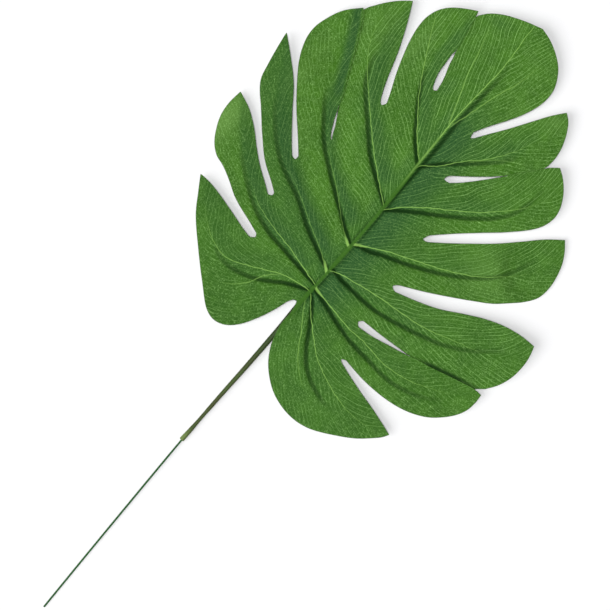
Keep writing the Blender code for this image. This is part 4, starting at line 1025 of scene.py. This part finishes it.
def reverse_polyester(colours, sizes):
    """Back of the same fabric: paler, duller and matt, with the dye only partly through and plain threads."""
    mat, t, shader = new_material("reverse_polyester")
    at = millimetres(t)
    groove = add(t, SPLIT, [add(t, "ShaderNodeUVMap", uv_map="groove_map")[0]])
    ink = add(t, "ShaderNodeAttribute", attribute_name="groove_ink_and_shade")["Fac"]
    grid = thread_grid(t, at, sizes.weave)
    grain = add(t, NOISE, {"Vector": at, "Scale": 0.8, "Detail": 4.0, "Roughness": 0.6})[0]
    light = add(t, MATH, [grid, 0.12, grain], operation="MULTIPLY_ADD")[0]
    light = add(t, RANGE, [light, 0.3, 0.75, 0.0, 1.0])[0]
    shaded = rgba([c * 0.72 for c in colours.reverse])
    tone = add(t, MIX, {0: light, 6: shaded, 7: rgba(colours.reverse)}, data_type="RGBA")[2]
    off = add(t, MATH, [groove[1]], operation="ABSOLUTE")[0]
    dark = add(t, RANGE, [off, 2.2, 0.4, 0.0, 0.45], interpolation_type="SMOOTHSTEP")[0]
    dark = add(t, MATH, [dark, ink], operation="MULTIPLY")[0]
    tone = add(t, MIX, {0: dark, 6: tone, 7: rgba(colours.band)}, data_type="RGBA")[2]
    bump = add(t, "ShaderNodeBump", {"Strength": 0.4, "Distance": 0.00012, "Height": light})[0]
    t.links.new(tone, shader.inputs["Base Color"])
    t.links.new(bump, shader.inputs["Normal"])
    shader.inputs["Roughness"].default_value = 0.78
    shader.inputs["Specular IOR Level"].default_value = 0.2
    shader.inputs["Sheen Weight"].default_value = 0.1
    return mat


def fused_edge(colours):
    """Polyester melted by the hot cutting knife: a hard, darker, slightly shiny bead."""
    mat, t, shader = new_material("fused_polyester_edge")
    at = millimetres(t)
    lumps = add(t, NOISE, {"Vector": at, "Scale": 0.5, "Detail": 4.0, "Roughness": 0.7})[0]
    share = add(t, RANGE, [lumps, 0.35, 0.7, 0.0, 1.0])[0]
    tone = add(t, MIX, {0: share, 6: rgba(colours.edge), 7: rgba(colours.leaf)}, data_type="RGBA")[2]
    bump = add(t, "ShaderNodeBump", {"Strength": 0.3, "Distance": 0.0001, "Height": lumps})[0]
    t.links.new(tone, shader.inputs["Base Color"])
    t.links.new(bump, shader.inputs["Normal"])
    shader.inputs["Roughness"].default_value = 0.45
    return mat


def moulded_polyethylene(colours):
    """Injection moulded polyethylene: waxy and soft in gloss, with swirls of a greener pigment, darker
    towards the blade and paler at the lip."""
    mat, t, shader = new_material("moulded_polyethylene")
    at = millimetres(t)
    place = add(t, SPLIT, [at])
    swirl = add(t, "ShaderNodeVectorMath", [at, (0.7, 0.09, 0.7)], operation="MULTIPLY")[0]
    inputs = {"Vector": swirl, "Scale": 1.0, "Detail": 4.0, "Roughness": 0.6, "Distortion": 0.6}
    swirl = add(t, NOISE, inputs)[0]
    share = add(t, RANGE, [swirl, 0.42, 0.66, 0.0, 0.8])[0]
    tone = add(t, MIX, {0: share, 6: rgba(colours.olive), 7: rgba(colours.stem_green)}, data_type="RGBA")[2]
    upper = add(t, RANGE, [place[1], -42.0, -14.0, 0.0, 0.9])[0]
    dull = rgba([c * 0.5 for c in colours.stem_green])
    tone = add(t, MIX, {0: upper, 6: tone, 7: dull}, data_type="RGBA")[2]
    pale = add(t, RANGE, [place[1], -77.0, -83.0, 0.0, 1.0])[0]
    left = add(t, RANGE, [place[0], -6.0, -7.2, 0.35, 1.0])[0]
    pale = add(t, MATH, [pale, left], operation="MULTIPLY")[0]
    tone = add(t, MIX, {0: pale, 6: tone, 7: rgba(colours.lip)}, data_type="RGBA")[2]
    scuffs = add(t, NOISE, {"Vector": at, "Scale": 1.6, "Detail": 5.0, "Roughness": 0.7})[0]
    rough = add(t, RANGE, [scuffs, 0.3, 0.7, 0.5, 0.68])[0]
    bump = add(t, "ShaderNodeBump", {"Strength": 0.2, "Distance": 0.00008, "Height": scuffs})[0]
    t.links.new(tone, shader.inputs["Base Color"])
    t.links.new(rough, shader.inputs["Roughness"])
    t.links.new(bump, shader.inputs["Normal"])
    shader.inputs["IOR"].default_value = 1.51
    shader.inputs["Specular IOR Level"].default_value = 0.3
    shader.inputs["Subsurface Weight"].default_value = 0.05
    shader.inputs["Subsurface Scale"].default_value = 0.0006
    return mat


def vinyl_coat(colours):
    """Thin extruded vinyl over florist's steel wire: dark green, satin, with faint drawing lines along it."""
    mat, t, shader = new_material("vinyl_wire_coat")
    drawn = add(t, "ShaderNodeVectorMath", [millimetres(t), (3.0, 0.06, 3.0)], operation="MULTIPLY")[0]
    drawn = add(t, NOISE, {"Vector": drawn, "Scale": 1.0, "Detail": 3.0})[0]
    share = add(t, RANGE, [drawn, 0.35, 0.7, 0.0, 1.0])[0]
    shaded = rgba([c * 0.7 for c in colours.coat])
    tone = add(t, MIX, {0: share, 6: shaded, 7: rgba(colours.coat)}, data_type="RGBA")[2]
    rough = add(t, RANGE, [drawn, 0.3, 0.7, 0.34, 0.52])[0]
    bump = add(t, "ShaderNodeBump", {"Strength": 0.2, "Distance": 0.00004, "Height": drawn})[0]
    t.links.new(tone, shader.inputs["Base Color"])
    t.links.new(rough, shader.inputs["Roughness"])
    t.links.new(bump, shader.inputs["Normal"])
    shader.inputs["IOR"].default_value = 1.53
    shader.inputs["Specular IOR Level"].default_value = 0.15
    return mat


def cut_steel():
    """The wire's bare core where it was nipped off: dull grey steel."""
    mat, t, shader = new_material("nipped_steel")
    marks = add(t, NOISE, {"Vector": millimetres(t), "Scale": 9.0, "Detail": 3.0})[0]
    rough = add(t, RANGE, [marks, 0.3, 0.7, 0.3, 0.5])[0]
    t.links.new(rough, shader.inputs["Roughness"])
    shader.inputs["Base Color"].default_value = rgba(linear(STEEL))
    shader.inputs["Metallic"].default_value = 1.0
    return mat


def matt_table(colours):
    """Plain matt table."""
    mat, _, shader = new_material("matt_table")
    shader.inputs["Base Color"].default_value = rgba(colours.floor)
    shader.inputs["Roughness"].default_value = 0.9
    shader.inputs["Specular IOR Level"].default_value = 0.1
    return mat


def finished(obj, slot, *nodes):
    """Puts a new piece on the leaf's body and lets it stand for the solids named."""
    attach(obj, "root")
    if nodes:
        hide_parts(*nodes)
    return obj


def linked(name, data):
    """A new object in the scene."""
    obj = bpy.data.objects.new(name, data)
    bpy.context.scene.collection.objects.link(obj)
    return obj


def to_row(points):
    """Leaf frame in mm to the row's frame in metres."""
    return (np.asarray(points, float) + TO_ROW) * MM


def at_seam(pts):
    """True for margin points where two lobes lie over each other."""
    found = np.zeros(len(pts), bool)
    for pair, (first, last) in SEAMS.items():
        dist, _, along, _ = nearest(pts, spline(PARTINGS[pair], 2.0))
        _, _, ends, _ = nearest(np.array([first, last], float), spline(PARTINGS[pair], 2.0))
        found |= (dist < 0.6) & (along > ends[0] + 1) & (along < ends[1] - 1)
    return found


def triangulated(loop, grid):
    """Points and triangles of the sheet within the loop, with all triangles turned the same way."""
    points = [Vector(p) for p in np.vstack([loop, grid])]
    verts, _, tris, _, _, _ = delaunay_2d_cdt(points, [], [list(range(len(loop)))], 1, 1e-5)
    flat = np.array([(v.x, v.y) for v in verts])
    tris = np.array(tris)
    a, b, c = flat[tris[:, 0]], flat[tris[:, 1]], flat[tris[:, 2]]
    turned = (b[:, 0] - a[:, 0]) * (c[:, 1] - a[:, 1]) - (b[:, 1] - a[:, 1]) * (c[:, 0] - a[:, 0]) < 0
    tris[turned] = tris[turned][:, ::-1]
    return flat, tris


def rim_edges(tris):
    """Edges that have a triangle on one side only, in order, and the number of that triangle."""
    beside = {}
    for k, t in enumerate(tris.tolist()):
        for edge in ((t[0], t[1]), (t[1], t[2]), (t[2], t[0])):
            beside[edge] = k
    rim = sorted((p, q) for p, q in beside if (q, p) not in beside)
    return rim, np.array([beside[edge] for edge in rim])


def corner_maps(flat, tris, rim, rim_triangles):
    """The print's maps and strengths at every face corner, taken from the lobe that the face lies in."""
    lobe = lobe_of(flat[tris].mean(1))
    rim_corners = np.array([[p, q, q, p] for p, q in rim])
    corner = np.concatenate([tris[:, ::-1].ravel(), tris.ravel(), rim_corners.ravel()])
    corner_lobe = np.concatenate([np.repeat(lobe, 3), np.repeat(lobe, 3),
                                  np.repeat(lobe[rim_triangles], 4)])
    maps = print_maps(flat)
    layers = [np.zeros((len(corner), 2)) for _ in range(3)]
    numbers = np.zeros((len(corner), 7))
    for k, name in enumerate(LOBE_NAMES):
        mine = corner_lobe == k
        for layer, source in zip(layers, maps[name][:3]):
            layer[mine] = source[corner[mine]]
        numbers[mine] = maps[name][3][corner[mine]]
    layers.append(np.column_stack([midrib_offset(flat), flat[:, 1]])[corner])
    column = STRENGTHS.index("band")
    # Darker patches, part painted shade, deepen the band
    shadows = patch_strengths(flat, SHADOWS)[corner]
    numbers[:, column] = 1 - (1 - numbers[:, column]) * (1 - shadows)
    # Lighter patches, part painted light on folds that face the light
    pale = patch_strengths(flat, PATCHES)[corner]
    return layers, np.column_stack([numbers, rib_strengths(flat)[corner], pale])


def blade_mesh(sizes):
    """The blade's sheet, with the maps of its print on every face corner."""
    loop, grid = sheet_points(sizes)
    flat, tris = triangulated(loop, grid)
    rim, rim_triangles = rim_edges(tris)
    z, placed = surface(flat, sizes)
    from_margin = nearest(flat, np.vstack([loop, loop[:1]]))[0]
    thin = (sizes.thickness - sizes.rim) * np.exp(-(from_margin / 0.8) ** 2)
    n = len(flat)
    low = np.column_stack([placed, z + thin])
    high = np.column_stack([placed, z + sizes.thickness - pressed_lines(flat)])
    faces = [t[::-1] for t in tris.tolist()]
    faces += [[i + n for i in t] for t in tris.tolist()]
    faces += [[p, q, q + n, p + n] for (p, q) in rim]
    mesh = bpy.data.meshes.new("leaf_blade_printed")
    mesh.from_pydata(to_row(np.vstack([low, high])).tolist(), [], faces)
    layers, numbers = corner_maps(flat, tris, rim, rim_triangles)
    for key, layer in zip(MAPS, layers):
        mesh.uv_layers.new(name=key).uv.foreach_set("vector", layer.astype(np.float32).ravel())
    for k, key in enumerate(STRENGTHS):
        values = numbers[:, k].astype(np.float32)
        mesh.attributes.new(key, "FLOAT", "CORNER").data.foreach_set("value", values)
    # Slots: 0 printed face, 1 back, 2 fused rim
    rim_slots = np.where(at_seam(flat[[p for p, q in rim]]), 0, 2)
    slots = np.concatenate([np.ones(len(tris)), np.zeros(len(tris)), rim_slots]).astype(np.int32)
    mesh.polygons.foreach_set("material_index", slots)
    mesh.polygons.foreach_set("use_smooth", np.ones(len(faces), bool))
    mesh.set_sharp_from_angle(angle=CREASE)
    mesh.update()
    return mesh


class MONSTERA_OT_blade(bpy.types.Operator):
    """Builds the printed and pressed fabric blade"""
    bl_idname = "monstera_leaf.blade"
    bl_label = "Fabric blade"
    bl_options = {"REGISTER", "UNDO"}

    def execute(self, context):
        sizes, colours = context.scene.monstera_sizes, context.scene.monstera_colours
        mesh = blade_mesh(sizes)
        if len(mesh.polygons) < 1000:
            raise RuntimeError("the blade's outline gave no sheet")
        for mat in (printed_polyester(colours, sizes), reverse_polyester(colours, sizes),
                    fused_edge(colours)):
            mesh.materials.append(mat)
        finished(linked("leaf_blade_printed", mesh), "printed_fabric", "leaf_blade")
        return {"FINISHED"}


# The sweep's own inputs, with their kinds and starting values
SWEEP_INPUTS = (("Radius", "NodeSocketFloat", 0.0005), ("Unevenness", "NodeSocketFloat", 0.1),
                ("Sides", "NodeSocketInt", 12), ("Seed", "NodeSocketInt", 4),
                ("Caps", "NodeSocketBool", True))


def sweep_tree(name):
    """Geometry Nodes that sweep a round section, a little uneven in size, along a chain of edges."""
    tree = bpy.data.node_groups.new(name, "GeometryNodeTree")
    face = tree.interface
    face.new_socket("Geometry", in_out="INPUT", socket_type="NodeSocketGeometry")
    for label, kind, value in SWEEP_INPUTS:
        face.new_socket(label, in_out="INPUT", socket_type=kind).default_value = value
    face.new_socket("Material", in_out="INPUT", socket_type="NodeSocketMaterial")
    face.new_socket("Geometry", in_out="OUTPUT", socket_type="NodeSocketGeometry")
    given = add(tree, "NodeGroupInput")
    curve = add(tree, "GeometryNodeMeshToCurve", {"Mesh": given["Geometry"]})[0]
    place = add(tree, "GeometryNodeInputPosition")[0]
    inputs = {"Vector": place, "W": given["Seed"], "Scale": 260.0, "Detail": 2.0}
    lumps = add(tree, NOISE, inputs, noise_dimensions="4D")[0]
    centred = add(tree, MATH, [lumps, 0.5], operation="SUBTRACT")[0]
    size = add(tree, MATH, [centred, given["Unevenness"], 1.0], operation="MULTIPLY_ADD")[0]
    curve = add(tree, "GeometryNodeSetCurveRadius", {"Curve": curve, "Radius": size})[0]
    inputs = {"Resolution": given["Sides"], "Radius": given["Radius"]}
    ring = add(tree, "GeometryNodeCurvePrimitiveCircle", inputs)[0]
    inputs = {"Curve": curve, "Profile Curve": ring, "Fill Caps": given["Caps"]}
    skin = add(tree, "GeometryNodeCurveToMesh", inputs)[0]
    scale = next(n for n in tree.nodes if n.bl_idname == "GeometryNodeCurveToMesh").inputs.get("Scale")
    if scale is not None:
        tree.links.new(size, scale)
    skin = add(tree, "GeometryNodeSetShadeSmooth", {"Geometry": skin})[0]
    skin = add(tree, "GeometryNodeRealizeInstances", {"Geometry": skin})[0]
    skin = add(tree, "GeometryNodeSetMaterial", {"Geometry": skin, "Material": given["Material"]})[0]
    add(tree, "NodeGroupOutput", [skin])
    return tree


def chain(count):
    """Edges that join points one after the other."""
    return [(i, i + 1) for i in range(count - 1)]


def swept(name, points, edges, values, material):
    """A plain mesh object from the sweep tree along the points."""
    bare = bpy.data.meshes.new(name + "_path")
    bare.from_pydata(to_row(points).tolist(), edges, [])
    path = linked(name + "_path", bare)
    modifier = path.modifiers.new("sweep", "NODES")
    modifier.node_group = sweep_tree(name + "_sweep")
    face = modifier.node_group.interface
    sockets = {s.name: s.identifier for s in face.items_tree if s.in_out == "INPUT"}
    for label, value in values.items():
        modifier[sockets[label]] = value
    modifier[sockets["Material"]] = material
    graph = bpy.context.evaluated_depsgraph_get()
    mesh = bpy.data.meshes.new_from_object(path.evaluated_get(graph))
    bpy.data.objects.remove(path, do_unlink=True)
    if not mesh.polygons:
        raise RuntimeError(f"the sweep for {name} gave no faces")
    mesh.name = name
    mesh.materials.clear()
    mesh.materials.append(material)
    return linked(name, mesh)


class MONSTERA_OT_cut_edge(bpy.types.Operator):
    """Runs the fused bead along the blade's heat-cut edge"""
    bl_idname = "monstera_leaf.cut_edge"
    bl_label = "Cut edge bead"
    bl_options = {"REGISTER", "UNDO"}

    def execute(self, context):
        sizes, colours = context.scene.monstera_sizes, context.scene.monstera_colours
        loop = margin(EDGE_STEP)[::-1]
        z, placed = surface(loop, sizes)
        height = z + sizes.thickness - sizes.rim / 2
        under = at_seam(loop)
        n = len(loop)
        edges = [(i, (i + 1) % n) for i in range(n) if not (under[i] or under[(i + 1) % n])]
        values = {"Radius": sizes.bead * MM, "Unevenness": 0.25, "Sides": 8, "Seed": 4, "Caps": True}
        obj = swept("cut_edge_bead", np.column_stack([placed, height]), edges, values, fused_edge(colours))
        finished(obj, "printed_fabric")
        return {"FINISHED"}


def axis_at(table, y):
    """Middle of the stem or wire at a distance down the leaf."""
    rows = table[table[:, 0].argsort()]
    return np.array([np.interp(y, rows[:, 0], rows[:, 1]), y, np.interp(y, rows[:, 0], rows[:, 2])])


def stem_rings(sizes, angle):
    """The stem's sections as (y, radius at every angle, shift to the right), from its thin end to the bore's
    bottom. A parting line runs along both sides, and the lip is a little off the middle."""
    rings = []
    for y, radius in spline(STEM_RADII, 1.2):
        line = sizes.flash * np.exp(-(np.sin(angle) / 0.12) ** 2) * smooth(radius, 0.5, 0.9)
        rings.append((y, radius + line, 0.15 * smooth(-y, 88, 93.5)))
    lip = ((-94.4, 1.24, 0.15), (STEM_END, 1.17, 0.14), (STEM_END, 0.9, 0.02), (-94.3, BORE_RADIUS, 0.0),
           (-90.5, BORE_RADIUS, 0.0), (STEM_END + BORE_DEPTH, BORE_RADIUS, 0.0))
    return rings + [(y, np.full(len(angle), radius), shift) for y, radius, shift in lip]


def stem_mesh(sizes):
    """The stem as rings of points, with a parting line on both sides and the lip's bore."""
    table = spline(STEM_AXIS, 2.0)
    sides = sizes.sides * 2
    angle = 2 * np.pi * (np.arange(sides) + 0.5) / sides
    rings = stem_rings(sizes, angle)
    verts = []
    for y, radius, shift in rings:
        a, b = axis_at(table, y + 0.5), axis_at(table, y - 0.5)
        along = (b - a) / np.linalg.norm(b - a)
        right = np.cross(along, [0.0, 0.0, 1.0])
        right /= np.linalg.norm(right)
        up = np.cross(right, along)
        middle = axis_at(table, y) + right * shift
        verts.append(middle + radius[:, None] * (np.cos(angle)[:, None] * right + np.sin(angle)[:,
                                                                                                None] * up))
    faces = []
    for i in range(len(rings) - 1):
        for k in range(sides):
            m = (k + 1) % sides
            faces.append((i * sides + k, i * sides + m, (i + 1) * sides + m, (i + 1) * sides + k))
    faces.append(tuple(range(sides)))
    faces.append(tuple((len(rings) - 1) * sides + k for k in range(sides)))
    mesh = bpy.data.meshes.new("stem_moulded")
    mesh.from_pydata(to_row(np.vstack(verts)).tolist(), [], faces)
    bm = bmesh.new()
    bm.from_mesh(mesh)
    bmesh.ops.recalc_face_normals(bm, faces=bm.faces[:])
    bm.to_mesh(mesh)
    bm.free()
    mesh.polygons.foreach_set("use_smooth", np.ones(len(mesh.polygons), bool))
    mesh.set_sharp_from_angle(angle=CREASE)
    return mesh


class MONSTERA_OT_stem(bpy.types.Operator):
    """Builds the moulded stem with its parting line and lip"""
    bl_idname = "monstera_leaf.stem"
    bl_label = "Moulded stem"
    bl_options = {"REGISTER", "UNDO"}

    def execute(self, context):
        sizes, colours = context.scene.monstera_sizes, context.scene.monstera_colours
        mesh = stem_mesh(sizes)
        mesh.materials.append(moulded_polyethylene(colours))
        finished(linked("stem_moulded", mesh), "moulded_plastic", "stem")
        return {"FINISHED"}


class MONSTERA_OT_wire(bpy.types.Operator):
    """Builds the coated wire and its bare cut end"""
    bl_idname = "monstera_leaf.wire"
    bl_label = "Coated wire"
    bl_options = {"REGISTER", "UNDO"}

    def execute(self, context):
        sizes, colours = context.scene.monstera_sizes, context.scene.monstera_colours
        stem, free = spline(STEM_AXIS, 2.0), spline(WIRE_AXIS, 2.0)
        route = [axis_at(stem, y) for y in np.arange(STEM_END + WIRE_INSERT, STEM_END + 0.5, -1.5)]
        route += [axis_at(free, y) for y in np.arange(STEM_END - 1.0, -207.0, -2.0)]
        route.append(axis_at(free, WIRE_END))
        values = {"Radius": sizes.wire * MM, "Unevenness": 0.03, "Sides": sizes.sides, "Seed": 9,
                  "Caps": True}
        obj = swept("wire_coated", np.array(route), chain(len(route)), values, vinyl_coat(colours))
        obj.data.set_sharp_from_angle(angle=CREASE)
        finished(obj, "green_coating", "stem_wire")
        end = axis_at(free, WIRE_END)
        core = [end + np.array([0.0, -beyond, 0.0]) for beyond in (0.0, 0.1, 0.19)]
        values = {"Radius": 0.72 * sizes.wire * MM, "Unevenness": 0.0, "Sides": 20, "Seed": 2, "Caps": True}
        nub = swept("wire_core_end", np.array(core), chain(3), values, cut_steel())
        nub.data.set_sharp_from_angle(angle=CREASE)
        finished(nub, "green_coating")
        return {"FINISHED"}


# The camera looks straight down: the leaf's midrib runs up to the right at 49.5 degrees
CAMERA_TURN = math.radians(40.5)
CAMERA_AT = (-3.75, 9.65)
# What the camera sees from side to side, in mm, and the height of the leaf's face where it does, in metres
VIEW_WIDTH = 317.2
FACE_HEIGHT = 0.0045
LENS = 150.0
SENSOR = 36.0
# The table's half size and how far it lies below the leaf, in metres
TABLE_HALF = 8.0
TABLE_GAP = 0.0001
# Directions towards the two lights, and how wide the top light looks. The key light's height is a setting
KEY_FROM = (-0.414, -0.909, 0.0)
TOP_FROM = (-0.03, -0.025, 1.0)
TOP_WIDTH = math.radians(14)


def lay_table(stage):
    """A matt table that reaches beyond every view."""
    mesh = bpy.data.meshes.new("table_top")
    signs = ((-1, -1), (1, -1), (1, 1), (-1, 1))
    corners = [(TABLE_HALF * a, TABLE_HALF * b, -TABLE_GAP) for a, b in signs]
    mesh.from_pydata(corners, [], [(0, 1, 2, 3)])
    mesh.materials.append(matt_table(stage))
    linked("table_top", mesh)


def set_lights(stage):
    """A wide key light from the side, a smaller one from above, and an even fill."""
    flat = Vector(KEY_FROM).normalized() * math.cos(stage.height)
    side = Vector((flat.x, flat.y, math.sin(stage.height)))
    lights = (("key_light", stage.key, stage.softness, side),
              ("top_light", stage.top, TOP_WIDTH, Vector(TOP_FROM)))
    for name, energy, angle, towards in lights:
        lamp = bpy.data.lights.new(name, "SUN")
        lamp.energy = energy
        lamp.angle = angle
        light = linked(name, lamp)
        light.rotation_mode = "QUATERNION"
        light.rotation_quaternion = towards.to_track_quat("Z", "Y")
    world = bpy.data.worlds.new("studio")
    world.use_nodes = True
    background = world.node_tree.nodes["Background"]
    background.inputs["Color"].default_value = (1.0, 1.0, 1.0, 1.0)
    background.inputs["Strength"].default_value = stage.fill
    bpy.context.scene.world = world


def set_camera():
    """A long lens far above the leaf, as in the photo."""
    data = bpy.data.cameras.new("camera")
    data.lens = LENS
    data.sensor_width = SENSOR
    data.clip_start = 0.01
    camera = linked("camera", data)
    away = VIEW_WIDTH * LENS / SENSOR * MM
    camera.location = (CAMERA_AT[0] * MM, CAMERA_AT[1] * MM, away + FACE_HEIGHT)
    camera.rotation_euler = (0.0, 0.0, CAMERA_TURN)
    bpy.context.scene.camera = camera


class MONSTERA_OT_stage(bpy.types.Operator):
    """Lays the table and sets the light and the camera"""
    bl_idname = "monstera_leaf.stage"
    bl_label = "Table, light and camera"
    bl_options = {"REGISTER", "UNDO"}

    def execute(self, context):
        stage = context.scene.monstera_stage
        lay_table(stage)
        set_lights(stage)
        context.scene.view_settings.view_transform = "Standard"
        set_camera()
        return {"FINISHED"}


class MONSTERA_PT_panel(bpy.types.Panel):
    """Sizes, colours and build steps of the leaf"""
    bl_label = "Monstera leaf"
    bl_idname = "MONSTERA_PT_panel"
    bl_space_type = "VIEW_3D"
    bl_region_type = "UI"
    bl_category = "Monstera Leaf"

    def draw(self, context):
        layout = self.layout
        scene = context.scene
        for group in (scene.monstera_sizes, scene.monstera_colours, scene.monstera_stage):
            box = layout.box()
            for name in group.__annotations__:
                box.prop(group, name)
        for step in STEPS:
            layout.operator(step.bl_idname)


STEPS = (MONSTERA_OT_blade, MONSTERA_OT_cut_edge, MONSTERA_OT_stem, MONSTERA_OT_wire, MONSTERA_OT_stage)
CLASSES = (MonsteraLeafSizes, MonsteraLeafColours, MonsteraLeafStage) + STEPS + (MONSTERA_PT_panel,)


def register():
    for cls in CLASSES:
        bpy.utils.register_class(cls)
    bpy.types.Scene.monstera_sizes = PointerProperty(type=MonsteraLeafSizes)
    bpy.types.Scene.monstera_colours = PointerProperty(type=MonsteraLeafColours)
    bpy.types.Scene.monstera_stage = PointerProperty(type=MonsteraLeafStage)


def unregister():
    del bpy.types.Scene.monstera_stage
    del bpy.types.Scene.monstera_colours
    del bpy.types.Scene.monstera_sizes
    for cls in reversed(CLASSES):
        bpy.utils.unregister_class(cls)


def main():
    register()
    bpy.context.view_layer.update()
    bpy.ops.monstera_leaf.blade()
    bpy.ops.monstera_leaf.cut_edge()
    bpy.ops.monstera_leaf.stem()
    bpy.ops.monstera_leaf.wire()
    bpy.ops.monstera_leaf.stage()


if __name__ == "__main__":
    main()
